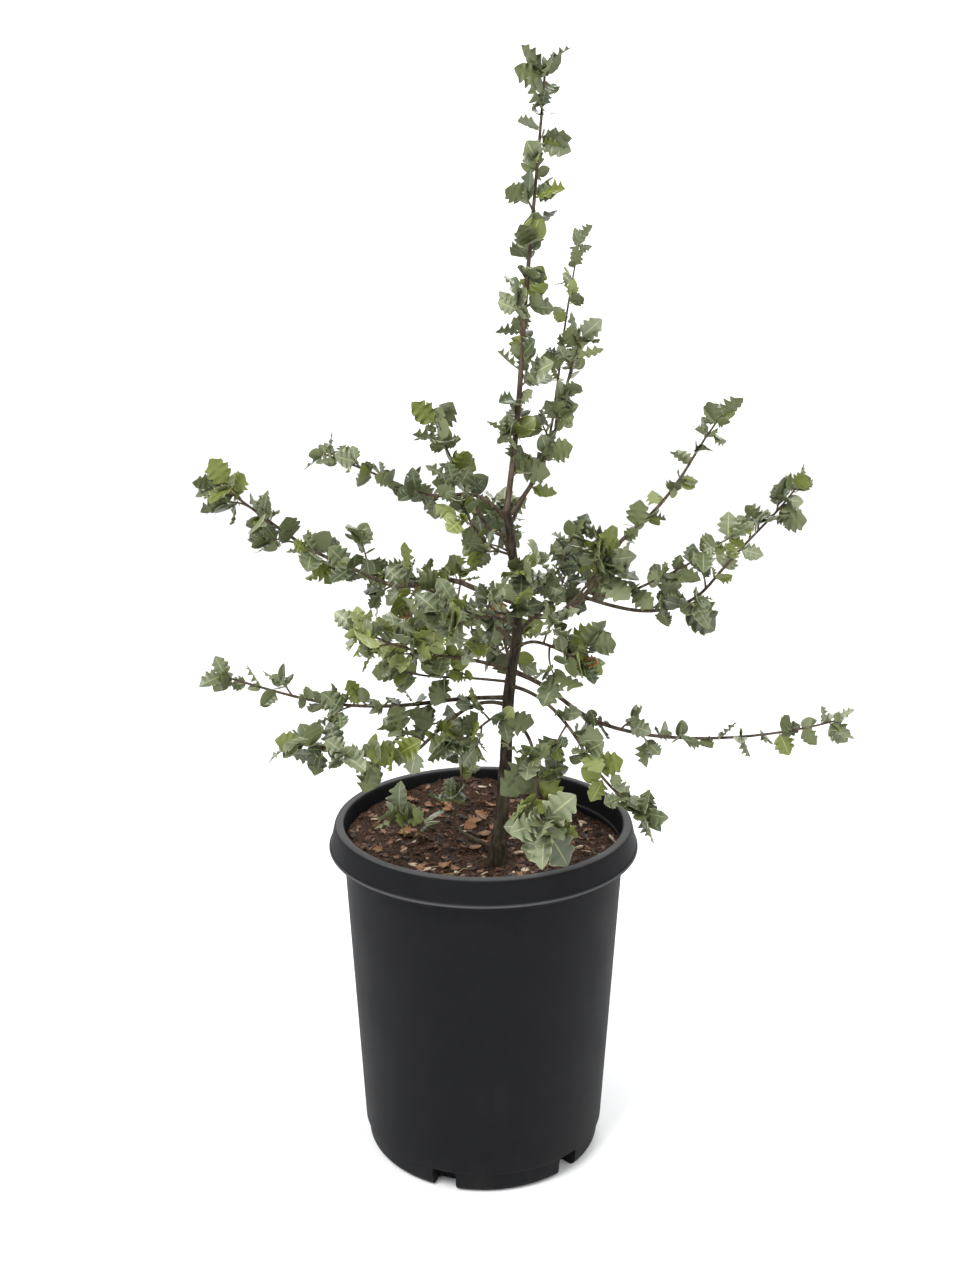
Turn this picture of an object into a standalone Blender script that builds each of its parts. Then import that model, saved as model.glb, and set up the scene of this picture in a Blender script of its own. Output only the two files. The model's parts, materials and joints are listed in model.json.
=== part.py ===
"""A young coast live oak in a black nursery pot.

Metres, +Z up. The origin is the middle of the pot's flat underside, and -Y faces the viewer.
Headings are degrees turned from +X towards +Y, and climbs are degrees above the level.
"""

import math
import random
from typing import NamedTuple

import bmesh
import bpy
from mathutils import Matrix, Quaternion, Vector
from mathutils.bvhtree import BVHTree

# The clearance between pieces that touch
CLEAR = 0.0003

# Pot: a turned tub with a hanging skirt at its rim and pockets moulded into its foot
POT_HEIGHT = 0.317
MOUTH_RADIUS = 0.1257
RIM_RADIUS = 0.1342
SKIRT_RADIUS = 0.140
SKIRT_DROP = 0.0237
SHOULDER_RADIUS = 0.127
FOOT_RADIUS = 0.111
FOOT_HEIGHT = 0.020
UNDERSIDE_RADIUS = 0.1040
FLOOR_HEIGHT = 0.0225
WALL = 0.0022
POT_SIDES = 40
POCKET_HEADINGS = (-109, -45, 19, 82, 145)
POCKET_WIDTH = 0.022
POCKET_DEPTH = 0.021

# Soil: level at the front, heaped at the back and low at the back right
SOIL_HEIGHT = 0.2965
SOIL_HEAP = 0.013
SOIL_DIP = 0.009
SOIL_RINGS = 4

# Trunk
TRUNK_FOOT = (0.0105, -0.055)
TRUNK_CLIMBS = (82, 86, 89, 81, 96, 99)
TRUNK_LENGTH = 0.315
TRUNK_THICK = 0.0056
TRUNK_TIP = 0.0030
FLARE = 0.0031
FLARE_REACH = 0.022

# Leaves and twigs
LEAF_WIDTH = 0.62
LEAF_THICK = 0.035
TWIG_THICK = 0.0013
TWIG_TIP = 0.0010
LONG_TWIG = 0.019
TUFT_STEP = 0.0042
GOLDEN_TURN = 137.5
BOUGH_STEP = 0.018
STEM_STEP = 0.032
STEM_BEND = 16


class Limb(NamedTuple):
    """A limb's row: where it leaves its parent, how it runs, and how it is clothed with leaves."""

    parent: str
    at: float
    heading: float
    turn: float
    climbs: tuple
    length: float
    thick: float
    tip: float
    bare: float
    spacing: float = 0.011
    shoots: float = 0.5
    reach: float = 0.03
    leaf: float = 0.026
    seed: int = 1


LIMBS = {
    "leader": Limb("trunk", 1.0, 0, 0, (82, 87, 85, 86), 0.344, 0.0027, 0.0009, 0.05,
                   0.0125, 0.35, 0.02, 0.028, 174),
    "second_leader": Limb("trunk", 0.985, 30, 20, (42, 55, 70, 71, 59), 0.158, 0.0021, 0.0009, 0.12,
                          0.011, 0.45, 0.022, 0.025, 78),
    "third_leader": Limb("trunk", 0.955, 55, 22, (45, 40, 72, 71, 56, 44), 0.271, 0.0015, 0.0007, 0.46,
                         0.018, 0.35, 0.014, 0.02, 177),
    "left_long": Limb("trunk", 0.75, 172, 10, (13, 24, -21, 26, 23, 36, 38, 36), 0.276, 0.0026, 0.0009, 0.16,
                      0.0105, 0.55, 0.044, 0.026, 263),
    "left_high": Limb("trunk", 0.965, 160, -12, (54, -14, 18, 15, 12), 0.181, 0.0017, 0.0008, 0.3,
                      0.012, 0.4, 0.024, 0.024, 194),
    "left_upright": Limb("trunk", 0.93, 135, -10, (-8, 47, 49, 50, 53), 0.135, 0.0016, 0.0008, 0.25,
                         0.01, 0.5, 0.026, 0.027, 323),
    "left_inner": Limb("trunk", 0.71, 206, 15, (22, 8, -28, 8, 17), 0.099, 0.0014, 0.0008, 0.15,
                       0.01, 0.55, 0.034, 0.025, 8),
    "left_light": Limb("trunk", 0.56, 206, 16, (26, 15, 18, 26, 36), 0.159, 0.0017, 0.0009, 0.3,
                       0.01, 0.55, 0.034, 0.027, 27),
    "left_level": Limb("trunk", 0.53, 194, 10, (10, 10, 6, 16, 25), 0.103, 0.0013, 0.0008, 0.25,
                       0.011, 0.5, 0.026, 0.025, 166),
    "left_low": Limb("trunk", 0.485, 180, 10, (1, -8, 4, 18, 21), 0.241, 0.0021, 0.0009, 0.22,
                     0.013, 0.42, 0.026, 0.025, 177),
    "left_drooping": Limb("trunk", 0.465, 200, 8, (22, -32, -40, 17, 22, 16), 0.2, 0.0018, 0.0009, 0.25,
                          0.011, 0.5, 0.03, 0.028, 69),
    "foot_twig": Limb("trunk", 0.045, 175, 0, (19, 31, 113, 91, 90, 84), 0.124, 0.0016, 0.0008, 0.34,
                      0.016, 0.4, 0.022, 0.026, 306),
    "foot_side": Limb("foot_twig", 0.255, 190, 10, (8, 5, 38, 37), 0.058, 0.001, 0.0007, 0.3,
                      0.012, 0.4, 0.018, 0.027, 51),
    "right_high": Limb("trunk", 0.73, 8, 22, (-29, 34, 65, 34, 48, 56, 44), 0.252, 0.0025, 0.0008, 0.42,
                       0.014, 0.38, 0.022, 0.024, 164),
    "right_whorl": Limb("right_high", 0.13, -14, -10, (47, 53, 67), 0.059, 0.0014, 0.0009, 0.45,
                        0.0065, 0.45, 0.024, 0.033, 174),
    "right_wide": Limb("right_high", 0.225, 0, -12, (-21, -10, 16, 54, 50, 49, 59), 0.222, 0.0018, 0.0008, 0.2,
                       0.011, 0.45, 0.026, 0.027, 317),
    "right_front": Limb("right_high", 0.245, -18, -12, (-15, 29, 29, 39, 32), 0.141, 0.0014, 0.0007, 0.2,
                        0.014, 0.35, 0.018, 0.023, 275),
    "right_low": Limb("trunk", 0.562, 0, -14, (-21, -42, -16, -2, 6, 13, 21), 0.283, 0.0022, 0.0008, 0.2,
                      0.017, 0.3, 0.02, 0.024, 193),
    "right_rim": Limb("trunk", 0.52, -34, -12, (-2, -33, -51, -32, -24), 0.164, 0.0017, 0.0009, 0.25,
                      0.011, 0.5, 0.024, 0.027, 242),
    "front_low": Limb("trunk", 0.438, -62, -18, (-4, -18, -70, -73, -10), 0.118, 0.0017, 0.001, 0.35,
                      0.013, 0.4, 0.024, 0.036, 325),
    "back_high": Limb("trunk", 0.8, 98, 14, (32, 25, 13, 3), 0.128, 0.0019, 0.0009, 0.22,
                      0.011, 0.5, 0.032, 0.026, 259),
    "back_right": Limb("trunk", 0.66, 52, -14, (27, 17, 17, 19), 0.136, 0.0022, 0.0009, 0.22,
                       0.011, 0.5, 0.032, 0.026, 69),
    "back_left": Limb("trunk", 0.64, 130, 16, (20, 13, 7, 3), 0.168, 0.0021, 0.0009, 0.25,
                      0.011, 0.5, 0.032, 0.026, 24),
    "back_low": Limb("trunk", 0.5, 88, 12, (18, 9, -1, -8), 0.153, 0.002, 0.0009, 0.25,
                     0.012, 0.5, 0.03, 0.026, 84),
    "front_left": Limb("trunk", 0.68, 246, -14, (30, 20, 6, -6), 0.103, 0.0016, 0.0009, 0.22,
                       0.0090, 0.50, 0.030, 0.027, 55),
    "front_right": Limb("trunk", 0.62, -52, 16, (38, 2, -13, -16), 0.078, 0.0016, 0.0009, 0.25,
                        0.0075, 0.50, 0.030, 0.027, 2),
    "shoot_left": Limb("trunk", 0.88, 195, 0, (15, 59, 61), 0.069, 0.0012, 0.0008, 0.0,
                       0.011, 0.5, 0.026, 0.024, 74),
    "shoot_right": Limb("trunk", 0.79, 16, 10, (-15, 53, 77), 0.068, 0.0012, 0.0008, 0.0,
                        0.0080, 0.50, 0.026, 0.025, 201),
    "shoot_front": Limb("trunk", 0.78, -85, 0, (32, 40, 37), 0.048, 0.0012, 0.0008, 0.0,
                        0.0080, 0.50, 0.024, 0.026, 280),
    "shoot_low": Limb("trunk", 0.45, 225, 0, (-6, -23, 12), 0.065, 0.0012, 0.0008, 0.0,
                      0.0110, 0.50, 0.026, 0.027, 121),
}

# Single leaves that stand out in the crown, by limb: the share along it, the heading and climb of the
# leaf, the climb of its face, which looks at the viewer, and its length
SHOWN_LEAVES = {
    "right_wide": ((0.375, 0, -36, 25, 0.044),),
    "right_low": ((0.98, 0, -45, 25, 0.028), (0.833, 0, -64, 25, 0.026)),
    "left_upright": ((0.708, 0, -27, 25, 0.028),),
    "leader": ((0.5, 0, 61, 20, 0.030), (0.417, 180, -76, 20, 0.025), (0.85, 0, -24, 20, 0.031)),
    "front_low": ((0.97, 200, -66, 40, 0.037), (0.98, -20, -52, 40, 0.044), (0.96, 180, 0, 30, 0.037)),
}

BARK = ((0.085, 0.075, 0.052), 0.8)
LEAF_GREEN = ((0.155, 0.195, 0.125), 0.55)
POT_BLACK = ((0.016, 0.017, 0.019), 0.55)
SOIL_BROWN = ((0.045, 0.030, 0.022), 0.95)


def aim(heading, climb):
    """The unit vector that points along a heading and a climb."""
    heading, climb = math.radians(heading), math.radians(climb)
    level = math.cos(climb)
    return Vector((level * math.cos(heading), level * math.sin(heading), math.sin(climb)))


def between(values, share):
    """The value at a share of the way along a row of evenly spaced ones."""
    place = share * (len(values) - 1)
    first = min(int(place), len(values) - 2)
    return values[first] + (values[first + 1] - values[first]) * (place - first)


def route(start, heading, turn, climbs, length, steps):
    """Points along a limb that sets off at a heading and climbs by each angle in turn."""
    points = [Vector(start)]
    for step in range(steps):
        share = (step + 0.5) / steps
        points.append(points[-1] + aim(heading + turn * share, between(climbs, share)) * (length / steps))
    return points


def along(points, share):
    """The point at a share of a route, and the route's direction there."""
    place = min(max(share, 0), 1) * (len(points) - 1)
    first = min(int(place), len(points) - 2)
    step = points[first + 1] - points[first]
    return points[first] + step * (place - first), step.normalized()


ROUTE_STEPS = 24


def soil_at(x, y):
    """The height of the soil's surface."""
    back = max(0, y) / MOUTH_RADIUS
    heap = SOIL_HEAP * back * math.exp(-((x + 0.02) / 0.06) ** 2)
    left = 0.005 * max(0, -x) / MOUTH_RADIUS
    dip = SOIL_DIP * math.exp(-((x - 0.085) ** 2 + (y - 0.06) ** 2) / 0.05 ** 2)
    return SOIL_HEIGHT + heap + left - dip


def trunk_radius(share):
    """The trunk's taper, with the flare of its roots at the foot."""
    taper = TRUNK_THICK + (TRUNK_TIP - TRUNK_THICK) * share
    return taper + FLARE * math.exp(-share * TRUNK_LENGTH / FLARE_REACH)


def limb_radius(limb, share):
    return limb.thick + (limb.tip - limb.thick) * share


def seat(limb, parent_points, parent_radius):
    """Where a limb's end sits, just clear of the tip or the side of the limb that carries it."""
    point, direction = along(parent_points, limb.at)
    out = aim(limb.heading, between(limb.climbs, 0.5 / ROUTE_STEPS))
    cosine = abs(out.dot(direction))
    sine = math.sqrt(1 - cosine * cosine)
    if limb.at == 1:
        return point + direction * (CLEAR + limb.thick * sine)
    return point + out * ((parent_radius + CLEAR + limb.thick * cosine) / sine)


def all_routes():
    """Every limb's route, by name, from the trunk outwards."""
    x, y = TRUNK_FOOT
    foot = (x, y, soil_at(x, y) + CLEAR)
    routes = {"trunk": route(foot, 0, 0, TRUNK_CLIMBS, TRUNK_LENGTH, ROUTE_STEPS)}
    for name, limb in LIMBS.items():
        if limb.parent == "trunk":
            parent_radius = trunk_radius(limb.at)
        else:
            parent_radius = limb_radius(LIMBS[limb.parent], limb.at)
        start = seat(limb, routes[limb.parent], parent_radius)
        routes[name] = route(start, limb.heading, limb.turn, limb.climbs, limb.length, ROUTE_STEPS)
    return routes


class Leaf(NamedTuple):
    root: Vector
    out: Vector
    face: Vector
    length: float


class Twig(NamedTuple):
    start: Vector
    end: Vector


def sideways(direction, angle, spread):
    """A direction that leaves another by spread degrees, turned round it by angle."""
    across = direction.cross(Vector((0, 0, 1)))
    if across.length < 0.1:
        across = direction.cross(Vector((0, 1, 0)))
    across.normalize()
    across = Quaternion(direction, math.radians(angle)) @ across
    spread = math.radians(spread)
    return (direction * math.cos(spread) + across * math.sin(spread)).normalized()


def place_leaf(dice, point, direction, angle, spread, size):
    """A leaf that grows from a twig: it leans out by spread degrees and faces any way, upwards more often."""
    out = sideways(direction, angle, spread + dice.uniform(-15, 15))
    out = (out + Vector((0, 0, -0.12))).normalized()
    lean = Vector((dice.gauss(0, 1), dice.gauss(0, 1), dice.gauss(0, 1))).normalized()
    face = lean + direction * 0.35 + Vector((0, 0, 0.2))
    face = (face - out * face.dot(out)).normalized()
    return Leaf(point.copy(), out, face, size * dice.uniform(0.75, 1.2))


def tuft(dice, point, direction, count, size):
    """The leaves that crowd the last stretch of a twig."""
    first = dice.uniform(0, 360)
    return [
        place_leaf(dice, point - direction * (0.0010 + TUFT_STEP * n), direction, first + GOLDEN_TURN * n,
                   34 + 12 * n, size)
        for n in range(count)
    ]


def grow(limb, points):
    """The sprays of one mass, by its limb's seeded rule: each is a twig, or none, and its leaves."""
    dice = random.Random(limb.seed)
    sprays = []
    knots = round(limb.length * (1 - limb.bare) / limb.spacing)
    turn = dice.uniform(0, 360)
    for knot in range(knots):
        share = (knot + 0.7) / (knots + 0.4)
        point, direction = along(points, limb.bare + (1 - limb.bare) * share)
        turn += GOLDEN_TURN + dice.uniform(-25, 25)
        if dice.random() > limb.shoots:
            sprays.append((None, [place_leaf(dice, point, direction, turn, 60, limb.leaf)]))
            continue
        out = sideways(direction, turn, dice.uniform(38, 62))
        out = (out + Vector((0, 0, 0.25))).normalized()
        length = limb.reach * dice.uniform(0.45, 1) * (1.15 - 0.6 * share)
        end = point + out * length
        sprays.append((Twig(point, end), tuft(dice, end, out, 2 if length < LONG_TWIG else 3, limb.leaf)))
    tip, direction = along(points, 1)
    sprays.append((None, tuft(dice, tip, direction, 3, limb.leaf)))
    return sprays


def shown_leaves(name, points):
    """The leaves of one limb that stand out in the crown, each with its face towards the viewer."""
    leaves = []
    for share, heading, climb, face_climb, length in SHOWN_LEAVES.get(name, ()):
        out = aim(heading, climb)
        face = aim(-90, face_climb)
        face = (face - out * face.dot(out)).normalized()
        leaves.append(Leaf(along(points, share)[0], out, face, length))
    return leaves


def material(name, colour, roughness):
    made = bpy.data.materials.new(name)
    made.use_nodes = True
    shader = made.node_tree.nodes["Principled BSDF"]
    shader.inputs["Base Color"].default_value = (*colour, 1)
    shader.inputs["Roughness"].default_value = roughness
    shader.inputs["Metallic"].default_value = 0
    made.diffuse_color = (*colour, 1)
    return made


def mesh_object(name, shape, collection, finish=None):
    """An object made from a bmesh, which is used up."""
    mesh = bpy.data.meshes.new(name)
    shape.to_mesh(mesh)
    shape.free()
    made = bpy.data.objects.new(name, mesh)
    collection.objects.link(made)
    if finish:
        mesh.materials.append(finish)
    return made


def tube(name, points, radii, resolution, collection, finish=None):
    """A tapering limb with closed ends, as a mesh."""
    curve = bpy.data.curves.new(name, "CURVE")
    curve.dimensions = "3D"
    curve.bevel_depth = 1
    curve.bevel_resolution = resolution
    curve.use_fill_caps = True
    spline = curve.splines.new("POLY")
    spline.points.add(len(points) - 1)
    for spot, point, radius in zip(spline.points, points, radii):
        spot.co = (*point, 1)
        spot.radius = radius
    guide = bpy.data.objects.new(name + "_guide", curve)
    collection.objects.link(guide)
    bpy.context.view_layer.update()
    graph = bpy.context.evaluated_depsgraph_get()
    mesh = bpy.data.meshes.new_from_object(guide.evaluated_get(graph))
    shape = bmesh.new()
    shape.from_mesh(mesh)
    bmesh.ops.remove_doubles(shape, verts=shape.verts, dist=1e-6)
    bmesh.ops.recalc_face_normals(shape, faces=shape.faces)
    bpy.data.objects.remove(guide)
    bpy.data.curves.remove(curve)
    bpy.data.meshes.remove(mesh)
    return mesh_object(name, shape, collection, finish)


def twig_shape(twig):
    """A three-sided twig that narrows to its tip."""
    shape = bmesh.new()
    run = twig.end - twig.start
    stand = Matrix.Translation((twig.start + twig.end) / 2) @ run.to_track_quat("Z", "Y").to_matrix().to_4x4()
    bmesh.ops.create_cone(shape, cap_ends=True, segments=3, radius1=TWIG_THICK, radius2=TWIG_TIP,
                          depth=run.length, matrix=stand)
    return shape


def leaf_shape(leaf, grown=0.0):
    """A leaf of six faces: a pointed blade, flat above and keeled below, rooted on its twig's axis."""
    side = leaf.out.cross(leaf.face)
    frame = Matrix((-leaf.face, side, leaf.out)).transposed().to_4x4()
    size = Matrix.Diagonal((leaf.length * LEAF_THICK / 1.5 + grown, leaf.length * LEAF_WIDTH / math.sqrt(3) + grown,
                            leaf.length / 2 + grown, 1))
    shape = bmesh.new()
    bmesh.ops.create_uvsphere(shape, u_segments=3, v_segments=2, radius=1,
                              matrix=Matrix.Translation(leaf.root + leaf.out * (leaf.length / 2)) @ frame @ size)
    return shape


def tree_of(shape):
    tree = BVHTree.FromBMesh(shape)
    shape.free()
    return tree


def free_of(tree, others):
    return not any(tree.overlap(other) for other in others)


def keep_largest_body(mesh):
    """Drops loose scraps and fills any hollow that the joining has sealed."""
    shape = bmesh.new()
    shape.from_mesh(mesh)
    left = set(shape.verts)
    bodies = []
    while left:
        body, edge_of_body = set(), [left.pop()]
        while edge_of_body:
            spot = edge_of_body.pop()
            body.add(spot)
            for edge in spot.link_edges:
                other = edge.other_vert(spot)
                if other in left:
                    left.remove(other)
                    edge_of_body.append(other)
        bodies.append(body)
    bodies.sort(key=len)
    for body in bodies[:-1]:
        bmesh.ops.delete(shape, geom=list(body), context="VERTS")
    shape.to_mesh(mesh)
    shape.free()


def fuse(stem, pieces):
    """Joins the pieces of a collection to a stem, and removes them."""
    union = stem.modifiers.new("Joined", "BOOLEAN")
    union.operation = "UNION"
    union.operand_type = "COLLECTION"
    union.collection = pieces
    union.solver = "EXACT"
    bpy.context.view_layer.update()
    graph = bpy.context.evaluated_depsgraph_get()
    joined = bpy.data.meshes.new_from_object(stem.evaluated_get(graph))
    stem.modifiers.clear()
    old = stem.data
    stem.data = joined
    bpy.data.meshes.remove(old)
    for piece in list(pieces.objects):
        mesh = piece.data
        bpy.data.objects.remove(piece)
        bpy.data.meshes.remove(mesh)
    keep_largest_body(joined)


def build_pot(collection, cutters):
    """The tub, turned from its profile, with the pockets cut into its foot."""
    skirt_foot = POT_HEIGHT - SKIRT_DROP
    profile = [
        (MOUTH_RADIUS, POT_HEIGHT - 0.0010),
        (MOUTH_RADIUS + 0.0010, POT_HEIGHT),
        (RIM_RADIUS - 0.0012, POT_HEIGHT),
        (RIM_RADIUS + 0.0003, POT_HEIGHT - 0.0018),
        (SKIRT_RADIUS, skirt_foot + 0.0022),
        (SKIRT_RADIUS - 0.0004, skirt_foot),
        (SKIRT_RADIUS - 0.0022, skirt_foot),
        (RIM_RADIUS - WALL, POT_HEIGHT - 0.0045),
        (SHOULDER_RADIUS + 0.0012, POT_HEIGHT - 0.0045),
        (SHOULDER_RADIUS, skirt_foot - 0.004),
        (FOOT_RADIUS, FOOT_HEIGHT + 0.0006),
        (FOOT_RADIUS - 0.0010, FOOT_HEIGHT - 0.0006),
        (UNDERSIDE_RADIUS + 0.0032, 0.0030),
        (UNDERSIDE_RADIUS, 0),
        (0, 0),
    ]
    inside = [
        (0, FLOOR_HEIGHT),
        (FOOT_RADIUS - WALL, FLOOR_HEIGHT),
        (SHOULDER_RADIUS - WALL, skirt_foot - 0.004),
    ]
    curve_points = [(radius, 0, height) for radius, height in profile + inside]
    shape = bmesh.new()
    corners = [shape.verts.new(point) for point in curve_points]
    for first, second in zip(corners, corners[1:]):
        shape.edges.new((first, second))
    shape.edges.new((corners[-1], corners[0]))
    shape.edges.remove(shape.edges.get((corners[len(profile) - 1], corners[len(profile)])))
    pot = mesh_object("pot", shape, collection, material("pot_plastic", *POT_BLACK))
    screw = pot.modifiers.new("Turned", "SCREW")
    screw.axis = "Z"
    screw.steps = POT_SIDES
    screw.render_steps = POT_SIDES
    screw.use_merge_vertices = True
    screw.merge_threshold = 0.00005
    for number, heading in enumerate(POCKET_HEADINGS):
        box = bmesh.new()
        bmesh.ops.create_cube(box, size=1)
        cutter = mesh_object(f"pocket_cutter_{number}", box, cutters)
        cutter.scale = (2 * POCKET_DEPTH, POCKET_WIDTH, 2 * FOOT_HEIGHT)
        cutter.location = aim(heading, 0) * (FOOT_RADIUS + 0.0005)
        cutter.rotation_euler.z = math.radians(heading)
        cutter.hide_render = True
        cutter.display_type = "WIRE"
        cut = pot.modifiers.new(f"Pocket {number}", "BOOLEAN")
        cut.operation = "DIFFERENCE"
        cut.object = cutter
    return pot


def build_soil(collection):
    """The potting soil, up to its uneven surface."""
    wall_slope = (SHOULDER_RADIUS - FOOT_RADIUS) / (POT_HEIGHT - SKIRT_DROP - FOOT_HEIGHT)
    floor = FLOOR_HEIGHT + CLEAR
    foot = FOOT_RADIUS - WALL - 0.0008
    top = foot + wall_slope * (SOIL_HEIGHT - floor)
    shape = bmesh.new()
    bmesh.ops.create_cone(shape, cap_ends=True, segments=POT_SIDES, radius1=foot, radius2=top,
                          depth=SOIL_HEIGHT - floor,
                          matrix=Matrix.Translation((0, 0, (SOIL_HEIGHT + floor) / 2)))
    lid = max(shape.faces, key=lambda face: face.calc_center_median().z)
    for ring in range(SOIL_RINGS - 1):
        share = 1 / (SOIL_RINGS - ring)
        rim_radius = max(corner.co.xy.length for corner in lid.verts)
        bmesh.ops.inset_region(shape, faces=[lid], thickness=rim_radius * share, use_even_offset=True)
    bmesh.ops.poke(shape, faces=[lid])
    for corner in shape.verts:
        if corner.co.z > floor + 0.01:
            corner.co.z = soil_at(corner.co.x, corner.co.y)
    bmesh.ops.triangulate(shape, faces=shape.faces)
    return mesh_object("soil", shape, collection, material("soil_mix", *SOIL_BROWN))


def build_trunk(points, collection, finish):
    """The trunk, from its flat cut at the soil to the fork."""
    shares = [0, 0.012, 0.035, 0.07, 0.13, 0.22, 0.34, 0.46, 0.56, 0.66, 0.76, 0.86, 0.94, 1]
    places = [along(points, share)[0] for share in shares]
    places[1].x, places[1].y = places[0].x, places[0].y
    return tube("trunk", places, [trunk_radius(share) for share in shares], 3, collection, finish)


def places_of(limb, points, first, last, step, fewest):
    """A stretch of a limb as the few points that its solid needs: more where it bends, and one by its seat."""
    climbs = [between(limb.climbs, first + (last - first) * part / ROUTE_STEPS) for part in range(ROUTE_STEPS + 1)]
    bends = sum(abs(after - before) for before, after in zip(climbs, climbs[1:]))
    steps = max(fewest, round(limb.length * (last - first) / step), round(bends / STEM_BEND))
    shares = [first + (last - first) * number / steps for number in range(steps + 1)]
    if first == 0 and shares[1] > 1.2 / ROUTE_STEPS:
        shares.insert(1, 1 / ROUTE_STEPS)
    return [along(points, share)[0] for share in shares], [limb_radius(limb, share) for share in shares]


def bough_places(limb, points):
    return places_of(limb, points, 0, limb.bare, BOUGH_STEP, 2)


def build_bough(name, limb, points, collection, finish):
    """The bare inner stretch of a limb."""
    places, radii = bough_places(limb, points)
    return tube("bough_" + name, places, radii, 1, collection, finish)


def build_stem(name, limb, points, collection, finish):
    """The stem of a mass, which starts just clear of its bough's tip."""
    places, radii = places_of(limb, points, limb.bare, 1, STEM_STEP, 3)
    if limb.bare:
        carrier, _ = bough_places(limb, points)
        out = (carrier[-1] - carrier[-2]).normalized()
        bend = out.angle(places[1] - places[0])
        places[0] = places[0] + out * (CLEAR + radii[0] * math.sin(bend))
    return tube("foliage_" + name, places, radii, 0, collection, finish)


def outer_blade(leaf):
    """The leaf without the stretch by its root, which other leaves may share."""
    return Leaf(leaf.root + leaf.out * leaf.length * 0.3, leaf.out, leaf.face, leaf.length * 0.7)


def build_mass(name, limb, points, stem, others, collection):
    """One mass: twigs and leaves fused to its stem, kept clear of each other and of the other limbs and masses."""
    pieces = bpy.data.collections.new("pieces_" + name)
    collection.children.link(pieces)
    own = [tree_of_object(stem)]
    for twig, leaves in [(None, shown_leaves(name, points))] + grow(limb, points):
        if twig:
            if not free_of(tree_of(twig_shape(twig)), others):
                continue
            mesh_object("twig", twig_shape(twig), pieces)
            own.append(tree_of(twig_shape(twig)))
        for leaf in leaves:
            blade = tree_of(leaf_shape(outer_blade(leaf)))
            if free_of(blade, own) and free_of(tree_of(leaf_shape(leaf, CLEAR)), others):
                mesh_object("leaf", leaf_shape(leaf), pieces)
                own.append(blade)
    fuse(stem, pieces)
    bpy.data.collections.remove(pieces)


def tree_of_object(made):
    shape = bmesh.new()
    shape.from_mesh(made.data)
    return tree_of(shape)


def main():
    for old in list(bpy.data.objects):
        bpy.data.objects.remove(old)
    plant = bpy.data.collections.new("potted_oak")
    cutters = bpy.data.collections.new("cutters")
    bpy.context.scene.collection.children.link(plant)
    bpy.context.scene.collection.children.link(cutters)

    routes = all_routes()
    bark = material("bark", *BARK)
    green = material("leaves", *LEAF_GREEN)

    build_pot(plant, cutters)
    build_soil(plant)
    limbs = [build_trunk(routes["trunk"], plant, bark)]
    for name, limb in LIMBS.items():
        if limb.bare:
            limbs.append(build_bough(name, limb, routes[name], plant, bark))
    limb_trees = [tree_of_object(made) for made in limbs]
    masses = {name: build_stem(name, limb, routes[name], plant, green) for name, limb in LIMBS.items()}
    mass_trees = {name: tree_of_object(stem) for name, stem in masses.items()}
    for name, limb in LIMBS.items():
        others = limb_trees + [tree for other, tree in mass_trees.items() if other != name]
        build_mass(name, limb, routes[name], masses[name], others, plant)
        mass_trees[name] = tree_of_object(masses[name])


if __name__ == "__main__":
    main()
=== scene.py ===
"""The looks of a young coast live oak in a black nursery pot.

Metres, +Z up. Headings are degrees turned from +X towards +Y, and climbs are degrees above the level.
"""

import json
import math
import random
from typing import NamedTuple

import bmesh
import bpy
from mathutils import Matrix, Quaternion, Vector, noise

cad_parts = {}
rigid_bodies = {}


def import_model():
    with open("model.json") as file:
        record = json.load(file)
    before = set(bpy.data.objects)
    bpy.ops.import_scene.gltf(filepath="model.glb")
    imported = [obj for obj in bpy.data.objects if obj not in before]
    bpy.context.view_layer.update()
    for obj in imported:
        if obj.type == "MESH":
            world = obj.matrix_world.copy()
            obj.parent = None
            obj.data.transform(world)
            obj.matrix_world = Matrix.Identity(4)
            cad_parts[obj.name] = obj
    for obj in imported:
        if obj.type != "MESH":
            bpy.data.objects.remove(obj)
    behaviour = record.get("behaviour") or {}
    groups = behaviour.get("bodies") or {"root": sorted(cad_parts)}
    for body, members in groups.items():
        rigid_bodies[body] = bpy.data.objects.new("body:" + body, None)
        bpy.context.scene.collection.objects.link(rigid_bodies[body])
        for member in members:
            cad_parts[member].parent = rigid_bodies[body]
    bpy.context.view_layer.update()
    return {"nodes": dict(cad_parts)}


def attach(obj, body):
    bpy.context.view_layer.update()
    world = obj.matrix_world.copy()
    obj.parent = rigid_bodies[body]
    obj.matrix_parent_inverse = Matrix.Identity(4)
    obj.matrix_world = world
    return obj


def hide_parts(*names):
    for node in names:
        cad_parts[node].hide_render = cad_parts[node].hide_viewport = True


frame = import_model()

# The clearance between pieces that touch
CLEAR = 0.0003

# Pot: a turned tub with a hanging skirt at its rim and pockets moulded into its foot
POT_HEIGHT = 0.317
MOUTH_RADIUS = 0.1257
RIM_RADIUS = 0.1342
SKIRT_RADIUS = 0.140
SKIRT_DROP = 0.0237
SHOULDER_RADIUS = 0.127
FOOT_RADIUS = 0.111
FOOT_HEIGHT = 0.020
UNDERSIDE_RADIUS = 0.1040
WALL = 0.0022
POCKET_HEADINGS = (-109, -45, 19, 82, 145)
POCKET_WIDTH = 0.022
POCKET_DEPTH = 0.021

# Soil: level at the front, heaped at the back, a little higher on the left and low at the back right
SOIL_HEIGHT = 0.2965
SOIL_HEAP = 0.013
HEAP_MIDDLE = -0.02
HEAP_SPREAD = 0.06
LEFT_RISE = 0.005
SOIL_DIP = 0.009
DIP_PLACE = (0.085, 0.06)
DIP_SPREAD = 0.05

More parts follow.
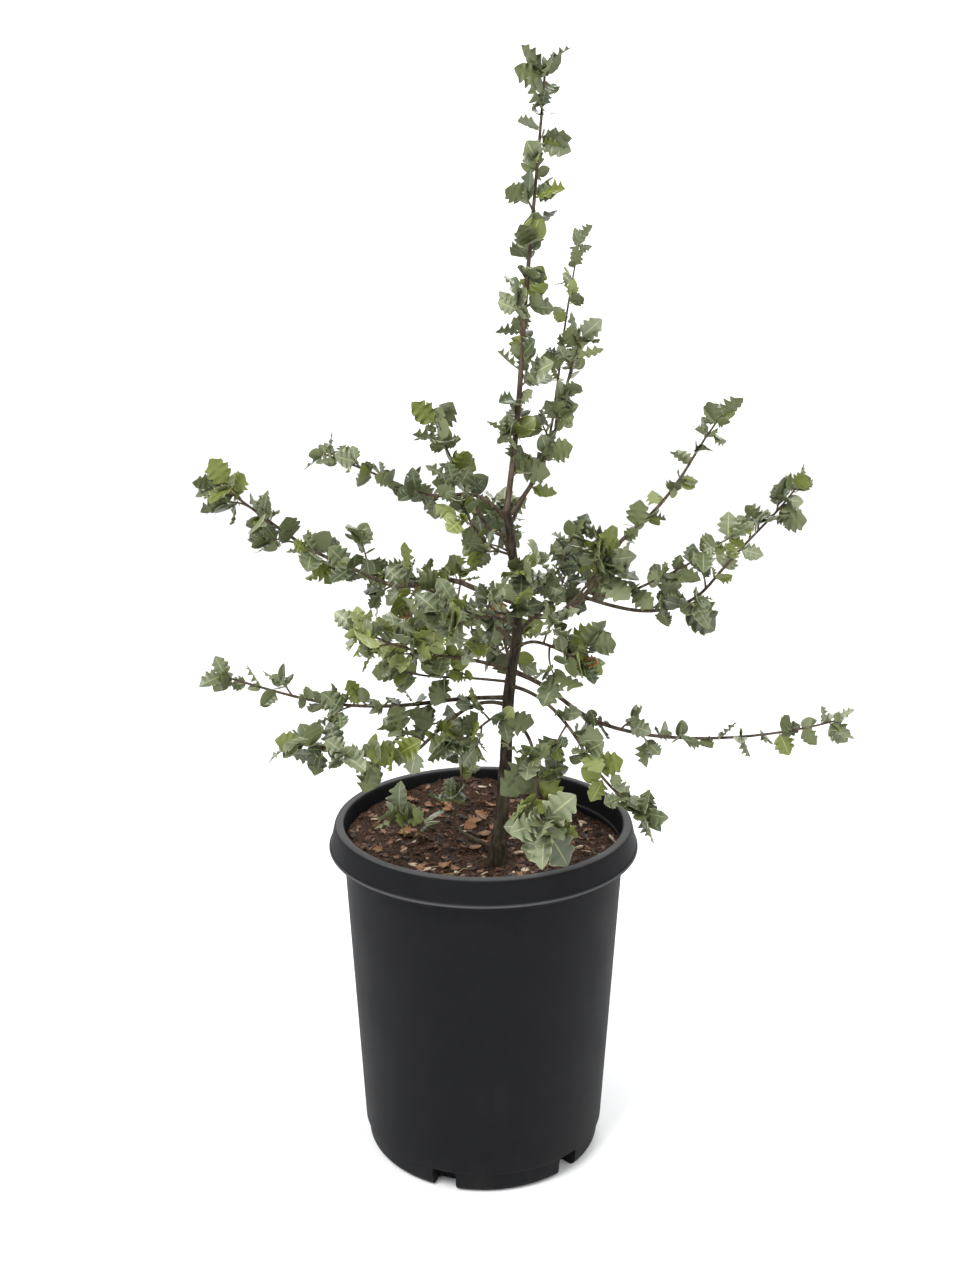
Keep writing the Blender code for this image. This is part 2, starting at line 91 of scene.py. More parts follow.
# Trunk
TRUNK_FOOT = (0.0105, -0.055)
TRUNK_CLIMBS = (82, 86, 89, 81, 96, 99)
TRUNK_LENGTH = 0.315
TRUNK_THICK = 0.0056
TRUNK_TIP = 0.0030
FLARE = 0.0031
FLARE_REACH = 0.022

# Every limb's route has this many steps
ROUTE_STEPS = 24

# The growth rule. Knots follow each other up a limb by the golden turn, each with a lone leaf or a shoot.
GOLDEN_TURN = 137.5
TURN_SWAY = 25
FIRST_KNOT = 0.7
SPARE_KNOTS = 0.4
LONE_SPREAD = 60
SHOOT_SPREADS = (38, 62)
SHOOT_RISE = Vector((0, 0, 0.25))
SHOOT_REACHES = (0.45, 1)
REACH_AT_FOOT = 1.15
REACH_LOST = 0.6
LONG_TWIG = 0.019
TIP_LEAVES = 3

# Tufts: how far the first leaf sits back from the tip, the step to the next, and how they open
TUFT_BACK = 0.0010
TUFT_STEP = 0.0042
TUFT_SPREAD = 34
TUFT_OPENS = 12

# How a leaf leans out, droops, faces and varies in size
LEAF_SWAY = 15
LEAF_DROOP = Vector((0, 0, -0.12))
FACE_ALONG = 0.35
FACE_RISE = Vector((0, 0, 0.2))
LEAF_SIZES = (0.75, 1.2)


class Limb(NamedTuple):
    """A limb's row: where it leaves its parent, how it runs, and how it is clothed with leaves."""

    parent: str
    at: float
    heading: float
    turn: float
    climbs: tuple
    length: float
    thick: float
    tip: float
    bare: float
    spacing: float
    shoots: float
    reach: float
    leaf: float
    seed: int


# Climbs and lengths were fitted to the boughs that show, and seeds were picked by trial for the outline of
# the crown
LIMBS = {
    "leader": Limb("trunk", 1.0, 0, 0, (82, 87, 85, 86), 0.344, 0.0027, 0.0009, 0.05,
        0.0125, 0.35, 0.02, 0.028, 174),
    "second_leader": Limb("trunk", 0.985, 30, 20, (42, 55, 70, 71, 59), 0.158, 0.0021, 0.0009, 0.12,
        0.011, 0.45, 0.022, 0.025, 78),
    "third_leader": Limb("trunk", 0.955, 55, 22, (45, 40, 72, 71, 56, 44), 0.271, 0.0015, 0.0007, 0.46,
        0.018, 0.35, 0.014, 0.02, 177),
    "left_long": Limb("trunk", 0.75, 172, 10, (13, 24, -21, 26, 23, 36, 38, 36), 0.276, 0.0026, 0.0009, 0.16,
        0.0105, 0.55, 0.044, 0.026, 263),
    "left_high": Limb("trunk", 0.965, 160, -12, (54, -14, 18, 15, 12), 0.181, 0.0017, 0.0008, 0.3,
        0.012, 0.4, 0.024, 0.024, 194),
    "left_upright": Limb("trunk", 0.93, 135, -10, (-8, 47, 49, 50, 53), 0.135, 0.0016, 0.0008, 0.25,
        0.01, 0.5, 0.026, 0.027, 323),
    "left_inner": Limb("trunk", 0.71, 206, 15, (22, 8, -28, 8, 17), 0.099, 0.0014, 0.0008, 0.15,
        0.01, 0.55, 0.034, 0.025, 8),
    "left_light": Limb("trunk", 0.56, 206, 16, (26, 15, 18, 26, 36), 0.159, 0.0017, 0.0009, 0.3,
        0.01, 0.55, 0.034, 0.027, 27),
    "left_level": Limb("trunk", 0.53, 194, 10, (10, 10, 6, 16, 25), 0.103, 0.0013, 0.0008, 0.25,
        0.011, 0.5, 0.026, 0.025, 166),
    "left_low": Limb("trunk", 0.485, 180, 10, (1, -8, 4, 18, 21), 0.241, 0.0021, 0.0009, 0.22,
        0.013, 0.42, 0.026, 0.025, 177),
    "left_drooping": Limb("trunk", 0.465, 200, 8, (22, -32, -40, 17, 22, 16), 0.2, 0.0018, 0.0009, 0.25,
        0.011, 0.5, 0.03, 0.028, 69),
    "foot_twig": Limb("trunk", 0.045, 175, 0, (19, 31, 113, 91, 90, 84), 0.124, 0.0016, 0.0008, 0.34,
        0.016, 0.4, 0.022, 0.026, 306),
    "foot_side": Limb("foot_twig", 0.255, 190, 10, (8, 5, 38, 37), 0.058, 0.001, 0.0007, 0.3,
        0.012, 0.4, 0.018, 0.027, 51),
    "right_high": Limb("trunk", 0.73, 8, 22, (-29, 34, 65, 34, 48, 56, 44), 0.252, 0.0025, 0.0008, 0.42,
        0.014, 0.38, 0.022, 0.024, 164),
    "right_whorl": Limb("right_high", 0.13, -14, -10, (47, 53, 67), 0.059, 0.0014, 0.0009, 0.45,
        0.0065, 0.45, 0.024, 0.033, 174),
    "right_wide": Limb("right_high", 0.225, 0, -12, (-21, -10, 16, 54, 50, 49, 59), 0.222, 0.0018, 0.0008,
        0.2, 0.011, 0.45, 0.026, 0.027, 317),
    "right_front": Limb("right_high", 0.245, -18, -12, (-15, 29, 29, 39, 32), 0.141, 0.0014, 0.0007, 0.2,
        0.014, 0.35, 0.018, 0.023, 275),
    "right_low": Limb("trunk", 0.562, 0, -14, (-21, -42, -16, -2, 6, 13, 21), 0.283, 0.0022, 0.0008, 0.2,
        0.017, 0.3, 0.02, 0.024, 193),
    "right_rim": Limb("trunk", 0.52, -34, -12, (-2, -33, -51, -32, -24), 0.164, 0.0017, 0.0009, 0.25,
        0.011, 0.5, 0.024, 0.027, 242),
    "front_low": Limb("trunk", 0.438, -62, -18, (-4, -18, -70, -73, -10), 0.118, 0.0017, 0.001, 0.35,
        0.013, 0.4, 0.024, 0.036, 325),
    "back_high": Limb("trunk", 0.8, 98, 14, (32, 25, 13, 3), 0.128, 0.0019, 0.0009, 0.22,
        0.011, 0.5, 0.032, 0.026, 259),
    "back_right": Limb("trunk", 0.66, 52, -14, (27, 17, 17, 19), 0.136, 0.0022, 0.0009, 0.22,
        0.011, 0.5, 0.032, 0.026, 69),
    "back_left": Limb("trunk", 0.64, 130, 16, (20, 13, 7, 3), 0.168, 0.0021, 0.0009, 0.25,
        0.011, 0.5, 0.032, 0.026, 24),
    "back_low": Limb("trunk", 0.5, 88, 12, (18, 9, -1, -8), 0.153, 0.002, 0.0009, 0.25,
        0.012, 0.5, 0.03, 0.026, 84),
    "front_left": Limb("trunk", 0.68, 246, -14, (30, 20, 6, -6), 0.103, 0.0016, 0.0009, 0.22,
        0.009, 0.5, 0.03, 0.027, 55),
    "front_right": Limb("trunk", 0.62, -52, 16, (38, 2, -13, -16), 0.078, 0.0016, 0.0009, 0.25,
        0.0075, 0.5, 0.03, 0.027, 2),
    "shoot_left": Limb("trunk", 0.88, 195, 0, (15, 59, 61), 0.069, 0.0012, 0.0008, 0.0,
        0.011, 0.5, 0.026, 0.024, 74),
    "shoot_right": Limb("trunk", 0.79, 16, 10, (-15, 53, 77), 0.068, 0.0012, 0.0008, 0.0,
        0.008, 0.5, 0.026, 0.025, 201),
    "shoot_front": Limb("trunk", 0.78, -85, 0, (32, 40, 37), 0.048, 0.0012, 0.0008, 0.0,
        0.008, 0.5, 0.024, 0.026, 280),
    "shoot_low": Limb("trunk", 0.45, 225, 0, (-6, -23, 12), 0.065, 0.0012, 0.0008, 0.0,
        0.011, 0.5, 0.026, 0.027, 121),
}

# Single leaves that stand out in the crown, by limb: the share along it, the heading and climb of the
# leaf, the climb of its face, which looks at the viewer, and its length
SHOWN_LEAVES = {
    "right_wide": ((0.375, 0, -36, 25, 0.044),),
    "right_low": ((0.98, 0, -45, 25, 0.028), (0.833, 0, -64, 25, 0.026)),
    "left_upright": ((0.708, 0, -27, 25, 0.028),),
    "leader": ((0.5, 0, 61, 20, 0.030), (0.417, 180, -76, 20, 0.025), (0.85, 0, -24, 20, 0.031)),
    "front_low": ((0.97, 200, -66, 40, 0.037), (0.98, -20, -52, 40, 0.044), (0.96, 180, 0, 30, 0.037)),
}


def aim(heading, climb):
    """The unit vector that points along a heading and a climb."""
    heading, climb = math.radians(heading), math.radians(climb)
    level = math.cos(climb)
    return Vector((level * math.cos(heading), level * math.sin(heading), math.sin(climb)))


def between(values, share):
    """The value at a share of the way along a row of evenly spaced ones."""
    place = share * (len(values) - 1)
    first = min(int(place), len(values) - 2)
    return values[first] + (values[first + 1] - values[first]) * (place - first)


def route(start, heading, turn, climbs, length, steps):
    """Points along a limb that sets off at a heading and climbs by each angle in turn."""
    points = [Vector(start)]
    for step in range(steps):
        share = (step + 0.5) / steps
        points.append(points[-1] + aim(heading + turn * share, between(climbs, share)) * (length / steps))
    return points


def along(points, share):
    """The point at a share of a route, and the route's direction there."""
    place = min(max(share, 0), 1) * (len(points) - 1)
    first = min(int(place), len(points) - 2)
    step = points[first + 1] - points[first]
    return points[first] + step * (place - first), step.normalized()


def soil_at(x, y):
    """The height of the soil's surface."""
    back = max(0, y) / MOUTH_RADIUS
    heap = SOIL_HEAP * back * math.exp(-((x - HEAP_MIDDLE) / HEAP_SPREAD) ** 2)
    left = LEFT_RISE * max(0, -x) / MOUTH_RADIUS
    dip_x, dip_y = DIP_PLACE
    dip = SOIL_DIP * math.exp(-((x - dip_x) ** 2 + (y - dip_y) ** 2) / DIP_SPREAD ** 2)
    return SOIL_HEIGHT + heap + left - dip


def trunk_radius(share):
    """The trunk's taper, with the flare of its roots at the foot."""
    taper = TRUNK_THICK + (TRUNK_TIP - TRUNK_THICK) * share
    return taper + FLARE * math.exp(-share * TRUNK_LENGTH / FLARE_REACH)


def limb_radius(limb, share):
    """A limb's taper."""
    return limb.thick + (limb.tip - limb.thick) * share


def seat(limb, parent_points, parent_radius):
    """Where a limb's end sits, just clear of the tip or the side of the limb that carries it."""
    point, direction = along(parent_points, limb.at)
    out = aim(limb.heading, between(limb.climbs, 0.5 / ROUTE_STEPS))
    cosine = abs(out.dot(direction))
    sine = math.sqrt(1 - cosine * cosine)
    if limb.at == 1:
        return point + direction * (CLEAR + limb.thick * sine)
    return point + out * ((parent_radius + CLEAR + limb.thick * cosine) / sine)


def all_routes():
    """Every limb's route, by name, from the trunk outwards."""
    x, y = TRUNK_FOOT
    foot = (x, y, soil_at(x, y) + CLEAR)
    routes = {"trunk": route(foot, 0, 0, TRUNK_CLIMBS, TRUNK_LENGTH, ROUTE_STEPS)}
    for name, limb in LIMBS.items():
        if limb.parent == "trunk":
            parent_radius = trunk_radius(limb.at)
        else:
            parent_radius = limb_radius(LIMBS[limb.parent], limb.at)
        start = seat(limb, routes[limb.parent], parent_radius)
        routes[name] = route(start, limb.heading, limb.turn, limb.climbs, limb.length, ROUTE_STEPS)
    return routes


class Leaf(NamedTuple):
    """Where a leaf is rooted, the way it points and the way its upper side faces."""

    root: Vector
    out: Vector
    face: Vector
    length: float


class Twig(NamedTuple):
    """The ends of a side shoot."""

    start: Vector
    end: Vector


def sideways(direction, angle, spread):
    """A direction that leaves another by spread degrees, turned round it by angle."""
    across = direction.cross(Vector((0, 0, 1)))
    if across.length < 0.1:
        across = direction.cross(Vector((0, 1, 0)))
    across.normalize()
    across = Quaternion(direction, math.radians(angle)) @ across
    spread = math.radians(spread)
    return (direction * math.cos(spread) + across * math.sin(spread)).normalized()


def place_leaf(dice, point, direction, angle, spread, size):
    """A leaf that grows from a twig: it leans out by spread degrees and faces any way, upwards more often."""
    out = sideways(direction, angle, spread + dice.uniform(-LEAF_SWAY, LEAF_SWAY))
    out = (out + LEAF_DROOP).normalized()
    lean = Vector((dice.gauss(0, 1), dice.gauss(0, 1), dice.gauss(0, 1))).normalized()
    face = lean + direction * FACE_ALONG + FACE_RISE
    face = (face - out * face.dot(out)).normalized()
    return Leaf(point.copy(), out, face, size * dice.uniform(*LEAF_SIZES))


def tuft(dice, point, direction, count, size):
    """The leaves that crowd the last stretch of a twig."""
    first = dice.uniform(0, 360)
    return [
        place_leaf(dice, point - direction * (TUFT_BACK + TUFT_STEP * n), direction,
                   first + GOLDEN_TURN * n, TUFT_SPREAD + TUFT_OPENS * n, size)
        for n in range(count)
    ]


def grow(limb, points):
    """The sprays of one mass, by its limb's seeded rule: each is a twig, or none, and its leaves."""
    dice = random.Random(limb.seed)
    sprays = []
    knots = round(limb.length * (1 - limb.bare) / limb.spacing)
    turn = dice.uniform(0, 360)
    for knot in range(knots):
        share = (knot + FIRST_KNOT) / (knots + SPARE_KNOTS)
        point, direction = along(points, limb.bare + (1 - limb.bare) * share)
        turn += GOLDEN_TURN + dice.uniform(-TURN_SWAY, TURN_SWAY)
        if dice.random() > limb.shoots:
            sprays.append((None, [place_leaf(dice, point, direction, turn, LONE_SPREAD, limb.leaf)]))
            continue
        out = sideways(direction, turn, dice.uniform(*SHOOT_SPREADS))
        out = (out + SHOOT_RISE).normalized()
        length = limb.reach * dice.uniform(*SHOOT_REACHES) * (REACH_AT_FOOT - REACH_LOST * share)
        end = point + out * length
        count = TIP_LEAVES - 1 if length < LONG_TWIG else TIP_LEAVES
        sprays.append((Twig(point, end), tuft(dice, end, out, count, limb.leaf)))
    tip, direction = along(points, 1)
    sprays.append((None, tuft(dice, tip, direction, TIP_LEAVES, limb.leaf)))
    return sprays


def shown_leaves(name, points):
    """The leaves of one limb that stand out in the crown, each with its face towards the viewer."""
    leaves = []
    for share, heading, climb, face_climb, length in SHOWN_LEAVES.get(name, ()):
        out = aim(heading, climb)
        face = aim(-90, face_climb)
        face = (face - out * face.dot(out)).normalized()
        leaves.append(Leaf(along(points, share)[0], out, face, length))
    return leaves


# Finer growth than the solids have: small leaves along each twig, at its end and beside each lone leaf
FINE_DICE = 500
FINE_STEP = 0.0085
FINE_FROM = 0.3
FINE_RUN = 0.65
FINE_SPREAD = 55
FINE_SIZES = (0.4, 0.75)
END_SIZE = 0.7
NEXT_SIZE = 0.62
NEXT_BACK = 0.003
BESIDE_RISE = Vector((0, 0, 0.8))
BESIDE_COUNTS = (1, 2, 2, 3)
BESIDE_SPREAD = 45
BESIDE_SIZES = (0.45, 0.85)

# A leaf's sheet: places across it as shares of its half width, and its rows round each spine, each with its
# place along the blade, its width and how far it lifts
ACROSS = (-1, -0.92, -0.46, -0.05, 0.05, 0.46, 0.92, 1)
BLADE_WIDTH = 0.80
SPINES = 3
FIRST_SPINE = 0.23
SPINE_STEP = 0.245
SPINE_ROWS = ((-0.112, 0.73, -0.8), (-0.076, 0.90, -0.2), (-0.032, 1.00, 0.5), (0.014, 1.07, 1.0),
              (0.048, 1.00, 0.6), (0.078, 0.86, -0.1))
LIFE_SIZE = 0.88
LAST_SHOULDER = (0.93, 0.75, 0)
ROUND_ROWS = 9
BELLY = 0.80
FULLNESS = 0.62
STALK_SHARE = 0.08
SHEET_GAP = 0.00022

# How single leaves differ: cupping across, bend along, wave of the margin and twist
CUPS = (-0.55, 0.40)
BENDS = (-0.30, 0.12)
WAVES = (0.10, 0.34)
TWISTS = (-0.35, 0.35)
TWIST_PIVOT = 0.4
CUP_DEPTH = 0.55
RIB_SINK = 0.08
RIB_HALF = 0.1
FOOT_WIDTH = 0.014
LEAST_WIDTH = 0.004


def finer_leaves(limb, points, sprays):
    """The small leaves that the solids leave out, spray by spray, from dice of their own."""
    dice = random.Random(limb.seed + FINE_DICE)
    more = []
    for twig, leaves in sprays:
        small = []
        if twig:
            run = twig.end - twig.start
            out = run.normalized()
            count = int(run.length / FINE_STEP)
            first = dice.uniform(0, 360)
            for number in range(count):
                share = FINE_FROM + FINE_RUN * (number + 0.5) / max(count, 1)
                small.append(place_leaf(dice, twig.start + run * share, out, first + GOLDEN_TURN * number,
                                        FINE_SPREAD, limb.leaf * dice.uniform(*FINE_SIZES)))
            small += tuft(dice, twig.end, out, 1, limb.leaf * END_SIZE)
            small += tuft(dice, twig.end - out * NEXT_BACK, out, 2, limb.leaf * NEXT_SIZE)
        elif len(leaves) == 1:
            axis = (leaves[0].out + BESIDE_RISE).normalized()
            for _ in range(dice.choice(BESIDE_COUNTS)):
                small.append(place_leaf(dice, leaves[0].root, axis, dice.uniform(0, 360), BESIDE_SPREAD,
                                        limb.leaf * dice.uniform(*BESIDE_SIZES)))
        else:
            tip, direction = along(points, 1)
            small += tuft(dice, tip, direction, TIP_LEAVES, limb.leaf * NEXT_SIZE)
        more.append(small)
    return more


class Sheets:
    """Vertices, faces and finishes gathered for one piece."""

    def __init__(self):
        self.points = []
        self.faces = []
        self.finishes = []
        self.ends = []

    def add(self, points, faces, finishes):
        """Takes in one leaf, tube or chip, with its faces numbered from its own first point."""
        base = len(self.points)
        self.points += points
        self.faces += [tuple(base + corner for corner in face) for face in faces]
        self.finishes += finishes
        self.ends.append((len(self.points), len(self.faces)))

    def parted(self, limit):
        """The same faces in shares of up to about limit faces, each leaf whole."""
        shares, base, first = [], 0, 0
        share = Sheets()
        for end_point, end_face in self.ends:
            share.add(self.points[base:end_point],
                      [tuple(corner - base for corner in face) for face in self.faces[first:end_face]],
                      self.finishes[first:end_face])
            base, first = end_point, end_face
            if len(share.faces) > limit:
                shares.append(share)
                share = Sheets()
        return shares + [share] if share.faces else shares

    def piece(self, name, finishes, slot, replaced=(), smooth=True):
        """Makes the gathered faces one object."""
        mesh = bpy.data.meshes.new(name)
        mesh.from_pydata(self.points, [], self.faces)
        for finish in finishes:
            mesh.materials.append(finish)
        mesh.polygons.foreach_set("material_index", self.finishes)
        mesh.polygons.foreach_set("use_smooth", [smooth] * len(self.faces))
        mesh.update()
        return dressed(placed(name, mesh), replaced)


def placed(name, data):
    """An object in the scene."""
    made = bpy.data.objects.new(name, data)
    bpy.context.scene.collection.objects.link(made)
    return made


def dressed(made, replaced=()):
    """The calls that every piece needs."""
    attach(made, "root")
    if replaced:
        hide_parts(*replaced)
    return made


def leaf_rows(spiny):
    """Each row's place along the blade, its half width as a share of the leaf's length, and its lift."""
    if spiny:
        rows = [(FIRST_SPINE + SPINE_STEP * number + place, width, lift)
                for number in range(SPINES) for place, width, lift in SPINE_ROWS]
        rows = [(0, 1, 0)] + rows + [LAST_SHOULDER, (1, 1, 0)]
    else:
        rows = [(row / (ROUND_ROWS - 1), 1, 0) for row in range(ROUND_ROWS)]
    return [(share, 0.5 * BLADE_WIDTH * width * max(0, math.sin(math.pi * share ** BELLY)) ** FULLNESS, lift)
            for share, width, lift in rows]


# A leaf's finishes, by slot
BLADE, RIB, UNDER = 0, 1, 2


def add_leaf(sheets, leaf, dice, spiny=True):
    """A thin closed leaf: blade, pale rib and pale margin above, and an underside that meets the margin."""
    side = leaf.out.cross(leaf.face).normalized()
    face = side.cross(leaf.out).normalized()
    cup = dice.uniform(*CUPS)
    bend = dice.uniform(*BENDS)
    wave = dice.uniform(*WAVES)
    twist = dice.uniform(*TWISTS)
    rows = leaf_rows(spiny)
    leaf = leaf._replace(length=leaf.length * LIFE_SIZE)
    length = leaf.length * (1 - STALK_SHARE)
    foot = leaf.root + leaf.out * (leaf.length * STALK_SHARE)
    top, under = [], []
    for share, width, crest in rows:
        half = max(width, FOOT_WIDTH if share == 0 else LEAST_WIDTH) * leaf.length
        turn = twist * (share - TWIST_PIVOT)
        over = side * math.cos(turn) + face * math.sin(turn)
        spine = foot + leaf.out * (share * length) + face * (bend * leaf.length * share * share)
        for u in ACROSS:
            raised = RIB_SINK * (abs(u) > RIB_HALF)
            lift = (cup * u * u * CUP_DEPTH + wave * crest * abs(u) ** 3 + raised) * half
            point = spine + over * (u * half) + face * lift
            top.append(point)
            under.append(point - face * (SHEET_GAP * (abs(u) < 1)))
    columns = len(ACROSS)
    points = top + under
    below = len(top)
    faces, finishes = [], []
    for row in range(len(rows) - 1):
        for column in range(columns - 1):
            a = row * columns + column
            b, c, d = a + 1, a + columns + 1, a + columns
            edge = column in (0, columns - 2)
            middle = column == (columns - 2) // 2
            faces.append((a, d, c, b))
            finishes.append(RIB if edge or middle else BLADE)
            faces.append(tuple(corner if corner % columns in (0, columns - 1) else corner + below
                               for corner in (a, b, c, d)))
            finishes.append(UNDER)
    stalk_points, stalk_faces = stalk(leaf, side, face, len(points))
    sheets.add(points + stalk_points, faces + stalk_faces, finishes + [RIB] * len(stalk_faces))


STALK_THICK = 0.00042
STALK_LAP = 0.03
STALK_HEADINGS = (90, 210, 330)


def stalk(leaf, side, face, base):
    """A three-sided stalk from the twig to just inside the blade's foot."""
    ends = (leaf.root, leaf.root + leaf.out * (leaf.length * (STALK_SHARE + STALK_LAP)))
    corners = [side * math.cos(math.radians(angle)) + face * math.sin(math.radians(angle))
               for angle in STALK_HEADINGS]
    points = [end + corner * STALK_THICK for end in ends for corner in corners]
    faces = [(base + n, base + (n + 1) % 3, base + 3 + (n + 1) % 3, base + 3 + n) for n in range(3)]
    return points, faces + [(base + 2, base + 1, base), (base + 3, base + 4, base + 5)]


# Limbs: their sides and steps, and how far each runs into the wood that carries it
TWIG_SIDES = 5
STEM_SIDES = 7
LIMB_STEPS = 44
JOINT_SINK = 0.0022
JOINT_SWELL = (1.25, 1.12)
FIRST_ACROSS = Vector((0.3, 1, 0.2))


def add_tube(sheets, points, radii, sides, relief=None):
    """A tapering limb with closed ends, with relief(point, angle) as a factor on its radius."""
    across = None
    rings = []
    for number, point in enumerate(points):
        before = points[max(number - 1, 0)]
        after = points[min(number + 1, len(points) - 1)]
        run = (after - before).normalized()
        if across is None:
            across = run.cross(FIRST_ACROSS).normalized()
        across = (across - run * across.dot(run)).normalized()
        up = run.cross(across)
        for side in range(sides):
            angle = 2 * math.pi * side / sides
            out = across * math.cos(angle) + up * math.sin(angle)
            factor = relief(point, out) if relief else 1
            rings.append(point + out * (radii[number] * factor))
    faces = []
    for number in range(len(points) - 1):
        for side in range(sides):
            a = number * sides + side
            b = number * sides + (side + 1) % sides
            faces.append((a, b, b + sides, a + sides))
    faces.append(tuple(reversed(range(sides))))
    faces.append(tuple(range(len(rings) - sides, len(rings))))
    sheets.add(rings, faces, [0] * len(faces))


# Young bark's furrows round and up a limb, and its knots, each as shares of the limb's radius
FURROWS_ROUND = 2.6
FURROWS_UP = 60
FURROW_DEPTH = 0.10
KNOTS = 900
KNOT_DEPTH = 0.05


def bark_relief(point, out):
    """Young bark: shallow upright furrows, with small knots."""
    spot = Vector((out.x * FURROWS_ROUND, out.y * FURROWS_ROUND, point.z * FURROWS_UP))
    return 1 + FURROW_DEPTH * noise.noise(spot) + KNOT_DEPTH * noise.noise(point * KNOTS)


# How far the trunk's bark stands out from its solid, as a factor, and the lobes where its roots start
BARK_STANDS = 1.11
LOBES = 3
LOBE_DEPTH = 0.28
LOBE_TURN = 0.8
LOBE_REACH = 0.014


def trunk_relief(point, out):
    """Bark with the lobes of the root flare near the soil."""
    near = math.exp(-(point.z - SOIL_HEIGHT) / LOBE_REACH)
    lobes = LOBE_DEPTH * near * math.cos(LOBES * math.atan2(out.y, out.x) + LOBE_TURN)
    return (bark_relief(point, out) + lobes) * BARK_STANDS


def limb_line(points, steps=LIMB_STEPS):
    """A route in even steps from its foot to its tip."""
    return [along(points, step / steps)[0] for step in range(steps + 1)]


TRUNK_ROWS = 150
TRUNK_SIDES = 28
TRUNK_SINK = 0.006


def build_trunk(points, finish):
    """The trunk's bark, its foot sunk in the soil."""
    line = limb_line(points, TRUNK_ROWS)
    line[0] = line[0] - Vector((0, 0, TRUNK_SINK))
    radii = [trunk_radius(step / TRUNK_ROWS) for step in range(TRUNK_ROWS + 1)]
    sheets = Sheets()
    add_tube(sheets, line, radii, TRUNK_SIDES, trunk_relief)
    sheets.piece("trunk_bark", [finish], "bark", ["trunk"])


def build_boughs(routes, finish):
    """Every limb in one run, from inside the wood that carries it to its tip."""
    sheets = Sheets()
    for name, limb in LIMBS.items():
        line = limb_line(routes[name])
        back = (line[0] - line[1]).normalized() * (JOINT_SINK + limb.thick * 0.5)
        line.insert(0, line[0] + back)
        radii = [limb_radius(limb, max(step - 1, 0) / LIMB_STEPS) for step in range(LIMB_STEPS + 2)]
        for step, swell in enumerate(JOINT_SWELL):
            radii[step] = radii[step] * swell
        add_tube(sheets, line, radii, STEM_SIDES, bark_relief)
    boughs = [name for name in frame["nodes"] if name.startswith("bough_")]
    sheets.piece("bough_bark", [finish], "bark", boughs)


# The chances of each kind of leaf, by limb: silver (grey green with a painted sky sheen), grey green, deep
# green, olive, new green, spent. Limbs inside the crown get more deep green as painted shade, and lit limbs
# more new green as painted light
KINDS = ("silver_green", "grey_green", "deep_green", "olive_green", "new_green", "spent_brown")
USUAL_KINDS = (0.27, 0.33, 0.22, 0.14, 0.035, 0.005)
SHADED_INNER_KINDS = (0.12, 0.22, 0.38, 0.25, 0.02, 0.01)
LIT_KINDS = (0.20, 0.30, 0.10, 0.18, 0.22, 0.0)
FOOT_KINDS = (0.10, 0.15, 0.20, 0.30, 0.10, 0.15)
# The limbs inside the crown, whose leaves carry painted shade
INNER_LIMBS = ("back_high", "back_low", "back_left", "back_right", "front_left", "front_right", "shoot_front",
               "shoot_low")
LIMB_KINDS = {name: SHADED_INNER_KINDS for name in INNER_LIMBS} | {
    "left_light": LIT_KINDS, "third_leader": LIT_KINDS, "foot_side": FOOT_KINDS, "foot_twig": FOOT_KINDS,
}

# The kinds of the leaves that stand out in the crown
SHOWN_KINDS = {
    "right_wide": ("deep_green",),
    "right_low": ("grey_green", "olive_green"),
    "left_upright": ("olive_green",),
    "leader": ("olive_green", "olive_green", "grey_green"),
    "front_low": ("grey_green", "deep_green", "grey_green"),
}
PIECE_LIMIT = 90000
KIND_DICE = 900

# How often a leaf keeps its spray's kind, and how often a small leaf has spines
LEAF_KEEPS = 0.6
SMALL_KEEPS = 0.5
SMALL_SPINY = 0.45

# A twig's steps, how far it sags as a share of its length, and its radius with what it loses at each step
TWIG_STEPS = 5
TWIG_SAG = 0.09
SAG_LOW = -0.6
TWIG_RADIUS = 0.00105
TWIG_LOSS = 0.00009


def deal(dice, chances):
    """One kind of leaf, drawn by its chance."""
    roll = dice.random() * sum(chances)
    for kind, chance in zip(KINDS, chances):
        roll -= chance
        if roll < 0:
            return kind
    return KINDS[0]


def add_twig(twigs, twig, dice):
    """A tapering twig with a slight bow."""
    run = twig.end - twig.start
    bow = Vector((dice.uniform(-1, 1), dice.uniform(-1, 1), dice.uniform(SAG_LOW, 1)))
    bow = bow * (run.length * TWIG_SAG)
    line = [twig.start + run * (step / TWIG_STEPS) + bow * math.sin(math.pi * step / TWIG_STEPS)
            for step in range(TWIG_STEPS + 1)]
    add_tube(twigs, line, [TWIG_RADIUS - TWIG_LOSS * step for step in range(TWIG_STEPS + 1)], TWIG_SIDES)


